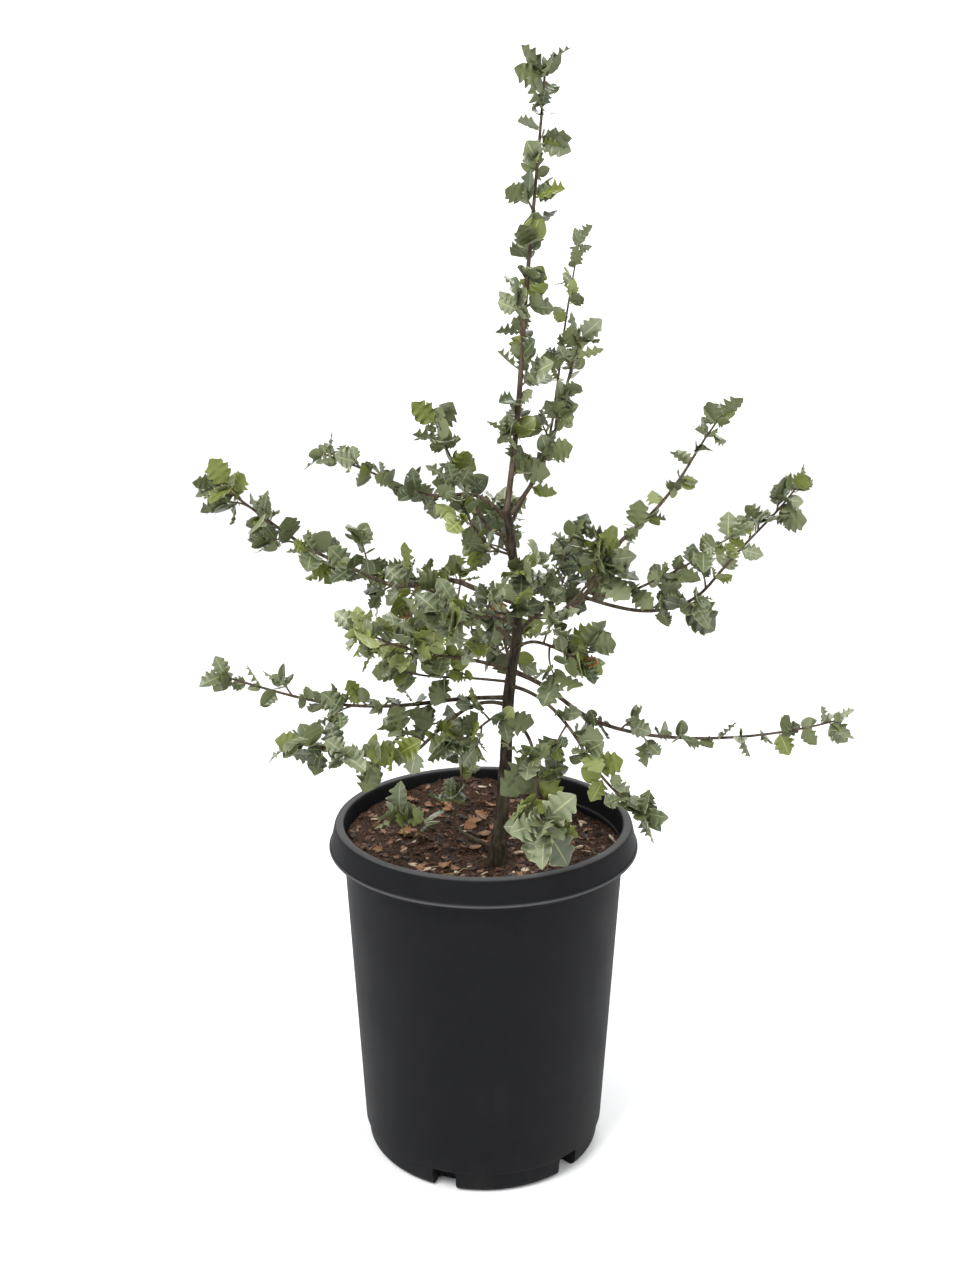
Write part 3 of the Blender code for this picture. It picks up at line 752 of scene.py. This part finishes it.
def build_foliage(routes, finishes, twig_finish):
    """Each mass as its twigs and its leaves, by the solids' own rule, carried on to smaller leaves."""
    leaves_of = {kind: Sheets() for kind in KINDS}
    twigs = Sheets()
    for name, limb in LIMBS.items():
        points = routes[name]
        dice = random.Random(limb.seed + KIND_DICE)
        sprays = grow(limb, points)
        small = finer_leaves(limb, points, sprays)
        chances = LIMB_KINDS.get(name, USUAL_KINDS)
        for number, leaf in enumerate(shown_leaves(name, points)):
            add_leaf(leaves_of[SHOWN_KINDS[name][number]], leaf, dice)
        for (twig, leaves), fine in zip(sprays, small):
            kind = deal(dice, chances)
            if twig:
                add_twig(twigs, twig, dice)
            for leaf in leaves:
                shade = kind if dice.random() < LEAF_KEEPS else deal(dice, chances)
                add_leaf(leaves_of[shade], leaf, dice)
            for leaf in fine:
                shade = kind if dice.random() < SMALL_KEEPS else deal(dice, chances)
                add_leaf(leaves_of[shade], leaf, dice, spiny=dice.random() < SMALL_SPINY)
    masses = [name for name in frame["nodes"] if name.startswith("foliage_")]
    twigs.piece("twig_wood", [twig_finish], "bark", masses)
    for kind, sheets in leaves_of.items():
        for number, share in enumerate(sheets.parted(PIECE_LIMIT)):
            share.piece(f"leaves_{kind}_{number + 1}", finishes[kind], "leaves")


# The pot, in finer steps than the solid has
POT_STEPS = 144
CORNER_STEPS = 4
CORNER_SHARE = 0.45
SHARP_ANGLE = 32
SAME_SPOT = 0.00005
SHOULDER_HEIGHT = POT_HEIGHT - SKIRT_DROP - 0.004
INSIDE_FLOOR = 0.10
POCKET_LIFT = 0.0005
POCKET_ROUND = 0.05
POCKET_ROUND_STEPS = 3


def rounded(corners, radii):
    """A profile with its corners turned into arcs."""
    points = [corners[0]]
    for number in range(1, len(corners) - 1):
        here = Vector(corners[number])
        back = Vector(corners[number - 1]) - here
        on = Vector(corners[number + 1]) - here
        reach = min(radii[number], back.length * CORNER_SHARE, on.length * CORNER_SHARE)
        if reach <= 0:
            points.append(corners[number])
            continue
        first, last = here + back.normalized() * reach, here + on.normalized() * reach
        for step in range(CORNER_STEPS + 1):
            share = step / CORNER_STEPS
            spot = first.lerp(here, share).lerp(here.lerp(last, share), share)
            points.append(tuple(spot))
    points.append(corners[-1])
    return points


def build_pot(finish):
    """The tub with its rolled rim, hanging skirt, mould lines and pockets.

    Its outline runs from the inside, over the rim and the skirt, to the underside. Each corner has its
    radius, its height and how far it is rounded.
    """
    skirt_foot = POT_HEIGHT - SKIRT_DROP
    shoulder = SHOULDER_HEIGHT
    slope = (SHOULDER_RADIUS - FOOT_RADIUS) / (shoulder - FOOT_HEIGHT)
    corners = [
        (FOOT_RADIUS - WALL + 0.0002 + slope * INSIDE_FLOOR, FOOT_HEIGHT + INSIDE_FLOOR, 0),
        (SHOULDER_RADIUS - WALL, shoulder, 0.004),
        (MOUTH_RADIUS, POT_HEIGHT - 0.0032, 0.0016),
        (MOUTH_RADIUS + 0.0014, POT_HEIGHT, 0.0018),
        (RIM_RADIUS - 0.0010, POT_HEIGHT, 0.0022),
        (RIM_RADIUS + 0.0006, POT_HEIGHT - 0.0030, 0.0015),
        (SKIRT_RADIUS - 0.0014, skirt_foot + 0.0040, 0.0010),
        (SKIRT_RADIUS, skirt_foot + 0.0026, 0.0010),
        (SKIRT_RADIUS, skirt_foot + 0.0004, 0.0010),
        (SKIRT_RADIUS - 0.0012, skirt_foot - 0.0004, 0.0008),
        (SKIRT_RADIUS - 0.0022, skirt_foot + 0.0006, 0.0006),
        (RIM_RADIUS - WALL, POT_HEIGHT - 0.0045, 0.0010),
        (SHOULDER_RADIUS + 0.0012, POT_HEIGHT - 0.0060, 0.0010),
        (SHOULDER_RADIUS + 0.0006, shoulder - 0.0030, 0.0004),
        (SHOULDER_RADIUS - 0.0004, shoulder - 0.0042, 0.0004),
        (FOOT_RADIUS + 0.0008, FOOT_HEIGHT + 0.0016, 0.0006),
        (FOOT_RADIUS - 0.0012, FOOT_HEIGHT + 0.0004, 0.0006),
        (FOOT_RADIUS - 0.0014, FOOT_HEIGHT - 0.0012, 0.0006),
        (UNDERSIDE_RADIUS + 0.0042, 0.0042, 0.0030),
        (UNDERSIDE_RADIUS, 0.0, 0.0030),
        (0.0, 0.0, 0),
    ]
    profile = rounded([(x, z) for x, z, _ in corners], [radius for _, _, radius in corners])
    shape = bmesh.new()
    spots = [shape.verts.new((x, 0, z)) for x, z in profile]
    floor = shape.verts.new((profile[0][0], 0, INSIDE_FLOOR))
    middle = shape.verts.new((0, 0, INSIDE_FLOOR))
    spots = [middle, floor] + spots
    edges = [shape.edges.new(pair) for pair in zip(spots, spots[1:])]
    bmesh.ops.spin(shape, geom=spots + edges, cent=(0, 0, 0), axis=(0, 0, 1), angle=2 * math.pi,
                   steps=POT_STEPS, use_merge=True)
    bmesh.ops.remove_doubles(shape, verts=shape.verts, dist=SAME_SPOT)
    bmesh.ops.recalc_face_normals(shape, faces=shape.faces)
    pot = object_of(shape, "pot_tub")
    cutters = []
    for heading in POCKET_HEADINGS:
        box = bmesh.new()
        bmesh.ops.create_cube(box, size=1)
        bmesh.ops.bevel(box, geom=list(box.edges), offset=POCKET_ROUND, segments=POCKET_ROUND_STEPS,
                        affect="EDGES")
        cutter = object_of(box, "pocket")
        cutter.scale = (2 * POCKET_DEPTH, POCKET_WIDTH, 2 * (FOOT_HEIGHT - POCKET_LIFT))
        cutter.location = aim(heading, 0) * (FOOT_RADIUS + POCKET_LIFT)
        cutter.rotation_euler.z = math.radians(heading)
        cut = pot.modifiers.new("Pocket", "BOOLEAN")
        cut.operation = "DIFFERENCE"
        cut.object = cutter
        cutters.append(cutter)
    settle(pot)
    for cutter in cutters:
        bpy.data.objects.remove(cutter)
    mark_sharp(pot.data)
    pot.data.materials.clear()
    pot.data.materials.append(finish)
    dressed(pot, ["pot"])


def object_of(shape, name):
    """An object made from a bmesh, which is used up."""
    mesh = bpy.data.meshes.new(name)
    shape.to_mesh(mesh)
    shape.free()
    return placed(name, mesh)


def settle(made):
    """Turns an object's modifiers into its mesh."""
    bpy.context.view_layer.update()
    graph = bpy.context.evaluated_depsgraph_get()
    mesh = bpy.data.meshes.new_from_object(made.evaluated_get(graph))
    made.modifiers.clear()
    made.data = mesh


def mark_sharp(mesh):
    """Smooth faces, with the edges kept sharp that turn far."""
    shape = bmesh.new()
    shape.from_mesh(mesh)
    for edge in shape.edges:
        edge.smooth = edge.calc_face_angle(0) < math.radians(SHARP_ANGLE)
    for face in shape.faces:
        face.smooth = True
    shape.to_mesh(mesh)
    shape.free()


# The soil's surface: its lumps, each with its depth and how close they lie, and its edge
SOIL_ROWS = 70
SOIL_COLUMNS = 150
LUMPS = ((0.0022, 95), (0.0014, 260), (0.0008, 620))
EDGE_GAP = 0.0004
EDGE_DEPTH = 0.03
EDGE_SHARE = 0.985


def wall_radius(height):
    """The inside of the tub at a height."""
    share = (height - FOOT_HEIGHT) / (SHOULDER_HEIGHT - FOOT_HEIGHT)
    return FOOT_RADIUS + (SHOULDER_RADIUS - FOOT_RADIUS) * min(share, 1) - WALL


def rough_soil(x, y):
    """The height of the soil with its lumps and crumbs."""
    spot = Vector((x, y, 0))
    return soil_at(x, y) + sum(depth * noise.noise(spot * close) for depth, close in LUMPS)


def build_soil(finish):
    """The soil's surface in rings, with an edge that runs down inside the tub."""
    sheets = Sheets()
    points = [Vector((0, 0, rough_soil(0, 0)))]
    edge = wall_radius(SOIL_HEIGHT) - EDGE_GAP
    for row in range(1, SOIL_ROWS + 1):
        radius = edge * row / SOIL_ROWS
        for column in range(SOIL_COLUMNS):
            angle = 2 * math.pi * column / SOIL_COLUMNS
            x, y = radius * math.cos(angle), radius * math.sin(angle)
            points.append(Vector((x, y, rough_soil(x, y))))
    for column in range(SOIL_COLUMNS):
        rim = points[len(points) - SOIL_COLUMNS]
        points.append(Vector((rim.x * EDGE_SHARE, rim.y * EDGE_SHARE, SOIL_HEIGHT - EDGE_DEPTH)))
    last = SOIL_ROWS + 1
    faces = [(0, 1 + n, 1 + (n + 1) % SOIL_COLUMNS) for n in range(SOIL_COLUMNS)]
    for row in range(last - 1):
        for n in range(SOIL_COLUMNS):
            a = 1 + row * SOIL_COLUMNS + n
            b = 1 + row * SOIL_COLUMNS + (n + 1) % SOIL_COLUMNS
            faces.append((a, a + SOIL_COLUMNS, b + SOIL_COLUMNS, b))
    faces.append(tuple(reversed(range(len(points) - SOIL_COLUMNS, len(points)))))
    sheets.add(points, faces, [0] * len(faces))
    sheets.piece("soil_top", [finish], "soil_mix", ["soil"])


# Litter: chips of bark, pale splinters, fallen leaves, most of them in a drift behind the trunk, and needles
LITTER_DICE = 77
CHIP_REACH = 0.96
TRUNK_ROOM = 0.016
CHIPS = 900
CHIP_SIZES = (0.003, 0.009)
CHIP_SHADES = (0, 0, 1, 1, 1, 2)
PALE_CHIPS = 60
PALE_SIZES = (0.005, 0.014)
PALE_LIFT = Vector((0, 0, 0.0008))
PALE_SHADE = 3
CHIP_OUTLINE = ((-1, -0.7), (-0.5, -1), (0.4, -0.9), (1, -0.3), (0.8, 0.6), (0.1, 1), (-0.8, 0.7))
CHIP_ROUGHNESS = (0.7, 1.1)
CHIP_THINS = (0.5, 1.1)
CHIP_TILTS = (0.35, 0.3)
CHIP_RISE = 0.3
FULL_TURN = 6.3
FALLEN_LEAVES = 46
FALLEN_REACH = 0.9
FALLEN_SIZES = (0.011, 0.019)
FALLEN_CLIMBS = (-4, 16)
FALLEN_LIFT = Vector((0, 0, 0.0025))
FALLEN_TILT = 0.35
FALLEN_LIMIT = 0.112
DRIFT_WIDTH = (-0.085, 0.03)
DRIFT_DEPTH = (-0.01, 0.085)
NEEDLES = ((205, -0.012, -0.072), (215, -0.020, -0.078), (193, -0.030, -0.066))
NEEDLE_POINTS = 8
NEEDLE_STEP = 0.006
NEEDLE_BEND = 2
NEEDLE_RADIUS = 0.00045
NEEDLE_SIDES = 5
NEEDLE_LIFT = 0.0016


def soil_spot(dice, reach=CHIP_REACH):
    """A place on the soil, clear of the trunk's foot."""
    while True:
        angle = dice.uniform(0, 2 * math.pi)
        radius = wall_radius(SOIL_HEIGHT) * reach * math.sqrt(dice.random())
        x, y = radius * math.cos(angle), radius * math.sin(angle)
        if math.hypot(x - TRUNK_FOOT[0], y - TRUNK_FOOT[1]) > TRUNK_ROOM:
            return Vector((x, y, rough_soil(x, y)))


def add_chip(sheets, dice, spot, long, wide, thick, finish):
    """A splinter of bark or wood, lying at a slant."""
    turn = Matrix.Rotation(dice.uniform(0, FULL_TURN), 3, "Z")
    for tilt, axis in zip(CHIP_TILTS, "XY"):
        turn = turn @ Matrix.Rotation(dice.gauss(0, tilt), 3, axis)
    points = []
    for z in (-1, 1):
        for x, y in CHIP_OUTLINE:
            corner = Vector((x * long * dice.uniform(*CHIP_ROUGHNESS),
                             y * wide * dice.uniform(*CHIP_ROUGHNESS),
                             z * thick * dice.uniform(*CHIP_THINS)))
            points.append(spot + turn @ (corner * 0.5) + Vector((0, 0, thick * CHIP_RISE)))
    around = len(CHIP_OUTLINE)
    faces = [tuple(reversed(range(around))), tuple(range(around, 2 * around))]
    faces += [(n, (n + 1) % around, around + (n + 1) % around, around + n) for n in range(around)]
    sheets.add(points, faces, [finish] * len(faces))


def build_chips(dice, finishes):
    """Bark chips and pale splinters."""
    chips = Sheets()
    for _ in range(CHIPS):
        size = dice.uniform(*CHIP_SIZES)
        add_chip(chips, dice, soil_spot(dice), size, size * dice.uniform(0.4, 0.8),
                 size * dice.uniform(0.15, 0.4), dice.choice(CHIP_SHADES))
    for _ in range(PALE_CHIPS):
        size = dice.uniform(*PALE_SIZES)
        add_chip(chips, dice, soil_spot(dice) + PALE_LIFT, size, size * dice.uniform(0.2, 0.45),
                 size * dice.uniform(0.10, 0.2), PALE_SHADE)
    chips.piece("bark_chips", finishes, "soil_mix", smooth=False)


def build_fallen(dice, finishes):
    """Fallen leaves: one in three anywhere on the soil, and the others in the drift."""
    fallen = Sheets()
    for number in range(FALLEN_LEAVES):
        spot = soil_spot(dice, FALLEN_REACH)
        if number % 3:
            spot = Vector((dice.uniform(*DRIFT_WIDTH), dice.uniform(*DRIFT_DEPTH), 0))
            spot.z = rough_soil(spot.x, spot.y)
        out = aim(dice.uniform(0, 360), dice.uniform(*FALLEN_CLIMBS))
        face = Vector((dice.gauss(0, FALLEN_TILT), dice.gauss(0, FALLEN_TILT), 1))
        face = (face - out * out.z).normalized()
        face = (face - out * face.dot(out)).normalized()
        leaf = Leaf(spot + FALLEN_LIFT, out, face, dice.uniform(*FALLEN_SIZES))
        tip = leaf.root + out * leaf.length
        if tip.xy.length < FALLEN_LIMIT:
            add_leaf(fallen, leaf, dice)
    fallen.piece("fallen_leaves", finishes, "soil_mix")


def build_needles(finish):
    """A few dry needles in front of the trunk."""
    needles = Sheets()
    for heading, x, y in NEEDLES:
        start = Vector((x, y, 0))
        line = []
        for step in range(NEEDLE_POINTS):
            spot = start + aim(heading + step * NEEDLE_BEND, 0) * (NEEDLE_STEP * step)
            spot.z = rough_soil(spot.x, spot.y) + NEEDLE_LIFT
            line.append(spot)
        add_tube(needles, line, [NEEDLE_RADIUS] * NEEDLE_POINTS, NEEDLE_SIDES)
    needles.piece("dry_needles", [finish], "soil_mix")


class Value:
    """A shader value that Python's operators work on."""

    def __init__(self, paint, socket):
        self.paint = paint
        self.socket = socket

    def worked(self, operation, first, second):
        return self.paint.node("ShaderNodeMath", {"operation": operation}, {0: first, 1: second})

    def __add__(self, other):
        return self.worked("ADD", self, other)

    def __mul__(self, other):
        return self.worked("MULTIPLY", self, other)

    def __sub__(self, other):
        return self.worked("SUBTRACT", self, other)

    def __rsub__(self, other):
        return self.worked("SUBTRACT", other, self)

    __radd__ = __add__
    __rmul__ = __mul__


class Paint:
    """One material's nodes."""

    def __init__(self, name, colour, roughness, **fixed):
        self.material = bpy.data.materials.new(name)
        self.material.use_nodes = True
        self.tree = self.material.node_tree
        self.shader = self.tree.nodes["Principled BSDF"]
        self.shader.inputs["Base Color"].default_value = (*colour, 1)
        self.shader.inputs["Roughness"].default_value = roughness
        for socket, value in fixed.items():
            self.shader.inputs[socket.replace("_", " ")].default_value = value
        self.material.diffuse_color = (*colour, 1)

    def node(self, kind, settings, sockets, out=0):
        """A node of a kind: its settings, then its sockets, each a number, a vector, a colour or a Value."""
        made = self.tree.nodes.new(kind)
        for name, value in settings.items():
            setattr(made, name, value)
        for name, value in sockets.items():
            if isinstance(value, Value):
                self.tree.links.new(value.socket, made.inputs[name])
            else:
                made.inputs[name].default_value = value
        return Value(self, made.outputs[out])

    def place(self, stretch=(1, 1, 1)):
        """The object's own coordinates, stretched."""
        spot = self.node("ShaderNodeTexCoord", {}, {}, "Object")
        return self.node("ShaderNodeMapping", {}, {"Vector": spot, "Scale": stretch})

    def grain(self, scale, detail=4, stretch=(1, 1, 1), roughness=0.55):
        """Noise from 0 to 1."""
        return self.node("ShaderNodeTexNoise", {}, {"Vector": self.place(stretch), "Scale": scale,
                                                    "Detail": detail, "Roughness": roughness})

    def band(self, value, low, high):
        """Value made 0 below low and 1 above high."""
        return self.node("ShaderNodeMapRange", {"clamp": True},
                         {"Value": value, "From Min": low, "From Max": high})

    def mix(self, share, first, second):
        """The first colour, with a share of the second."""
        ends = [colour if isinstance(colour, Value) else (*colour, 1) for colour in (first, second)]
        return self.node("ShaderNodeMix", {"data_type": "RGBA"}, {0: share, 6: ends[0], 7: ends[1]}, 2)

    def feed(self, **sockets):
        """Links values to the shader's own sockets."""
        for name, value in sockets.items():
            self.tree.links.new(value.socket, self.shader.inputs[name.replace("_", " ")])
        return self

    def bump(self, height, distance, strength=1.0):
        return self.feed(Normal=self.node("ShaderNodeBump", {}, {"Height": height, "Distance": distance,
                                                                "Strength": strength}))


def bark_finish(name, dark, pale):
    """Bark with upright furrows and faint patches of lichen."""
    lichen = (0.105, 0.095, 0.066)
    paint = Paint(name, dark, 0.8, Specular_IOR_Level=0.15)
    furrows = paint.grain(340, 5, (1, 1, 0.22))
    patches = paint.grain(70, 3)
    shade = paint.mix(paint.band(furrows, 0.38, 0.68), dark, pale)
    shade = paint.mix(paint.band(patches, 0.55, 0.72) * 0.5, shade, lichen)
    paint.feed(Base_Color=shade, Roughness=0.9 - furrows * 0.25)
    return paint.bump(furrows, 0.0006).material


# The tub's colours, and the painted highlight on top of its rim and in a thin line along its skirt's lip
BLACK = (0.0065, 0.0068, 0.0078)
DUSTY = (0.034, 0.033, 0.032)
SHEEN_GREY = (0.150, 0.150, 0.152)
RIM_SHEEN = 0.42
LIP_SHEEN = 0.50
SHEEN_BAND = 0.0016
LIP_FADE = 0.0018
RIM_EDGE = 0.0003
DUST_HEIGHT = 0.04


def pot_finish():
    """Dull black plastic, dusty low down, with a painted highlight on top of its rim and along its lip."""
    paint = Paint("pot_black_plastic", BLACK, 0.45, Specular_IOR_Level=0.072)
    cloud = paint.grain(16, 4)
    fine = paint.grain(900, 2)
    streaks = paint.grain(60, 3, (1, 1, 0.12))
    height = paint.node("ShaderNodeSeparateXYZ", {}, {0: paint.place()}, 2)
    dust = paint.band(cloud, 0.45, 0.75) * 0.16 + (1 - paint.band(height, 0.0, DUST_HEIGHT)) * 0.22
    shade = paint.mix(dust * paint.band(streaks, 0.3, 0.7), BLACK, DUSTY)
    # Painted highlights: lighter grey on top of the rim and in a thin line at the skirt's lip
    lip = POT_HEIGHT - SKIRT_DROP + SHEEN_BAND
    rim_sheen = paint.band(height, POT_HEIGHT - SHEEN_BAND, POT_HEIGHT - RIM_EDGE) * RIM_SHEEN
    below_lip = paint.band(height, lip - SHEEN_BAND, lip)
    above_lip = paint.band(height, lip, lip + LIP_FADE)
    shade = paint.mix(rim_sheen + below_lip * (1 - above_lip) * LIP_SHEEN, shade, SHEEN_GREY)
    paint.feed(Base_Color=shade, Roughness=0.42 + cloud * 0.22 + fine * 0.06)
    return paint.bump(fine + cloud * 2, 0.00012).material


def soil_finish():
    """Dark mix with paler crumbs and damp clods."""
    gap, crumb, clod = (0.006, 0.004, 0.003), (0.125, 0.068, 0.040), (0.036, 0.019, 0.012)
    paint = Paint("soil_bark_mix", (0.030, 0.020, 0.014), 0.95, Specular_IOR_Level=0.15)
    crumbs = paint.grain(520, 6, roughness=0.7)
    clods = paint.grain(120, 4)
    shade = paint.mix(paint.band(crumbs, 0.42, 0.66), gap, crumb)
    shade = paint.mix(paint.band(clods, 0.5, 0.75) * 0.5, shade, clod)
    paint.feed(Base_Color=shade)
    return paint.bump(crumbs + clods, 0.0012).material


def chip_finish(name, dark, pale):
    """Split wood with its fibres."""
    paint = Paint(name, dark, 0.85)
    fibre = paint.grain(260, 4)
    paint.feed(Base_Color=paint.mix(paint.band(fibre, 0.35, 0.7), dark, pale))
    return paint.bump(fibre, 0.0004).material


def leaf_finishes():
    """For each kind: blade, rib and margin, and underside. The colours are dealt out by spray."""
    shades = {
        # Silver green is the grey green with a painted sky sheen
        "silver_green": ((0.178, 0.202, 0.112), (0.360, 0.372, 0.210), (0.146, 0.166, 0.078)),
        "grey_green": ((0.104, 0.126, 0.056), (0.265, 0.280, 0.130), (0.104, 0.122, 0.044)),
        "deep_green": ((0.050, 0.064, 0.026), (0.180, 0.200, 0.090), (0.078, 0.092, 0.034)),
        "olive_green": ((0.118, 0.142, 0.020), (0.250, 0.270, 0.070), (0.130, 0.154, 0.026)),
        "new_green": ((0.215, 0.245, 0.080), (0.390, 0.410, 0.160), (0.200, 0.232, 0.074)),
        "spent_brown": ((0.300, 0.150, 0.045), (0.380, 0.230, 0.090), (0.250, 0.120, 0.040)),
    }
    made = {}
    for kind, (blade, rib, under) in shades.items():
        made[kind] = [
            Paint(kind + "_blade", blade, 0.40, Coat_Weight=0.12, Coat_Roughness=0.30).material,
            Paint(kind + "_rib", rib, 0.50).material,
            Paint(kind + "_underside", under, 0.62).material,
        ]
    return made


# The studio: a floor that bends up into a round wall, which glows a little
FLOOR_REACH = 5.0
FLOOR_BEND = 1.2
BEND_STEPS = 12
FLOOR_SIDES = 96
FLOOR_EDGE = 0.02
WALL_TOP = 3.0
WALL_GLOW = 0.40
STUDIO_WHITE = (0.93, 0.93, 0.93)
SKY = (0.97, 0.985, 1.0, 1)
SKY_LIGHT = 0.74

# Each lamp's place, what it is aimed at, its width and its power
LAMPS = {
    "key": ((-1.1, -1.5, 2.7), (0, -0.05, 0.55), 1.1, 72),
    "fill": ((1.9, -1.5, 1.6), (0, 0, 0.5), 1.8, 14),
    "back": ((0.5, 1.7, 2.2), (0, 0, 0.6), 1.2, 30),
}
CAMERA_PLACE = (-0.00315, -1.2841, 0.8473)
CAMERA_DIP = 15.78
SENSOR = 36
LENS = 42.76


def build_floor():
    """A pale floor with a round wall far off."""
    line = [(FLOOR_REACH - FLOOR_BEND + FLOOR_BEND * math.sin(step * math.pi / (2 * BEND_STEPS)),
             FLOOR_BEND - FLOOR_BEND * math.cos(step * math.pi / (2 * BEND_STEPS)))
            for step in range(BEND_STEPS + 1)]
    shape = bmesh.new()
    spots = [shape.verts.new((x, 0, z)) for x, z in [(0, 0)] + line + [(FLOOR_REACH, WALL_TOP)]]
    edges = [shape.edges.new(pair) for pair in zip(spots, spots[1:])]
    bmesh.ops.spin(shape, geom=spots + edges, cent=(0, 0, 0), axis=(0, 0, 1), angle=2 * math.pi,
                   steps=FLOOR_SIDES, use_merge=True)
    bmesh.ops.remove_doubles(shape, verts=shape.verts, dist=2 * SAME_SPOT)
    for face in shape.faces:
        face.smooth = True
        face.material_index = int(face.calc_center_median().z > FLOOR_EDGE)
    sweep = object_of(shape, "studio_floor")
    sweep.data.materials.append(Paint("studio_white", STUDIO_WHITE, 0.9).material)
    glow = Paint("studio_wall", STUDIO_WHITE, 0.9, Emission_Color=(1, 1, 1, 1), Emission_Strength=WALL_GLOW)
    sweep.data.materials.append(glow.material)


def build_lights():
    """Soft light all round, with three lamps."""
    world = bpy.data.worlds.new("studio")
    world.use_nodes = True
    world.node_tree.nodes["Background"].inputs[0].default_value = SKY
    world.node_tree.nodes["Background"].inputs[1].default_value = SKY_LIGHT
    bpy.context.scene.world = world
    for name, (place, aimed, size, power) in LAMPS.items():
        lamp = bpy.data.lights.new(name, "AREA")
        lamp.size = size
        lamp.energy = power
        holder = placed(name, lamp)
        holder.location = place
        holder.rotation_euler = (Vector(aimed) - Vector(place)).to_track_quat("-Z", "Y").to_euler()


def build_camera():
    """The camera, which looks from the front and a little down."""
    camera = bpy.data.cameras.new("camera")
    camera.sensor_width = SENSOR
    camera.lens = LENS
    holder = placed("camera", camera)
    holder.location = CAMERA_PLACE
    holder.rotation_euler = (math.radians(90 - CAMERA_DIP), 0, 0)
    bpy.context.scene.camera = holder
    bpy.context.scene.view_settings.view_transform = "Standard"


def litter_finishes():
    """For the chips, the fallen leaves and the needles."""
    return {
        "chips": [
            chip_finish("chip_dark", (0.010, 0.006, 0.004), (0.045, 0.025, 0.016)),
            chip_finish("chip_brown", (0.042, 0.020, 0.011), (0.145, 0.070, 0.038)),
            chip_finish("chip_tan", (0.130, 0.068, 0.038), (0.300, 0.175, 0.100)),
            chip_finish("chip_cream", (0.400, 0.300, 0.200), (0.640, 0.520, 0.380)),
        ],
        "fallen": [
            Paint("fallen_blade", (0.205, 0.088, 0.028), 0.7).material,
            Paint("fallen_rib", (0.300, 0.180, 0.080), 0.7).material,
            Paint("fallen_underside", (0.235, 0.135, 0.060), 0.75).material,
        ],
        "needle": Paint("needle_straw", (0.300, 0.190, 0.100), 0.6).material,
    }


def main():
    """Builds the studio, then the plant, the pot, the soil and the litter."""
    build_floor()
    build_lights()
    build_camera()
    routes = all_routes()
    wood = bark_finish("young_bark", (0.016, 0.013, 0.008), (0.055, 0.042, 0.026))
    bough = bark_finish("bough_brown_bark", (0.036, 0.026, 0.017), (0.118, 0.088, 0.060))
    twig = bark_finish("twig_bark", (0.055, 0.040, 0.024), (0.140, 0.105, 0.066))
    build_trunk(routes["trunk"], wood)
    build_boughs(routes, bough)
    build_foliage(routes, leaf_finishes(), twig)
    build_pot(pot_finish())
    build_soil(soil_finish())
    litter = litter_finishes()
    dice = random.Random(LITTER_DICE)
    build_chips(dice, litter["chips"])
    build_fallen(dice, litter["fallen"])
    build_needles(litter["needle"])


main()
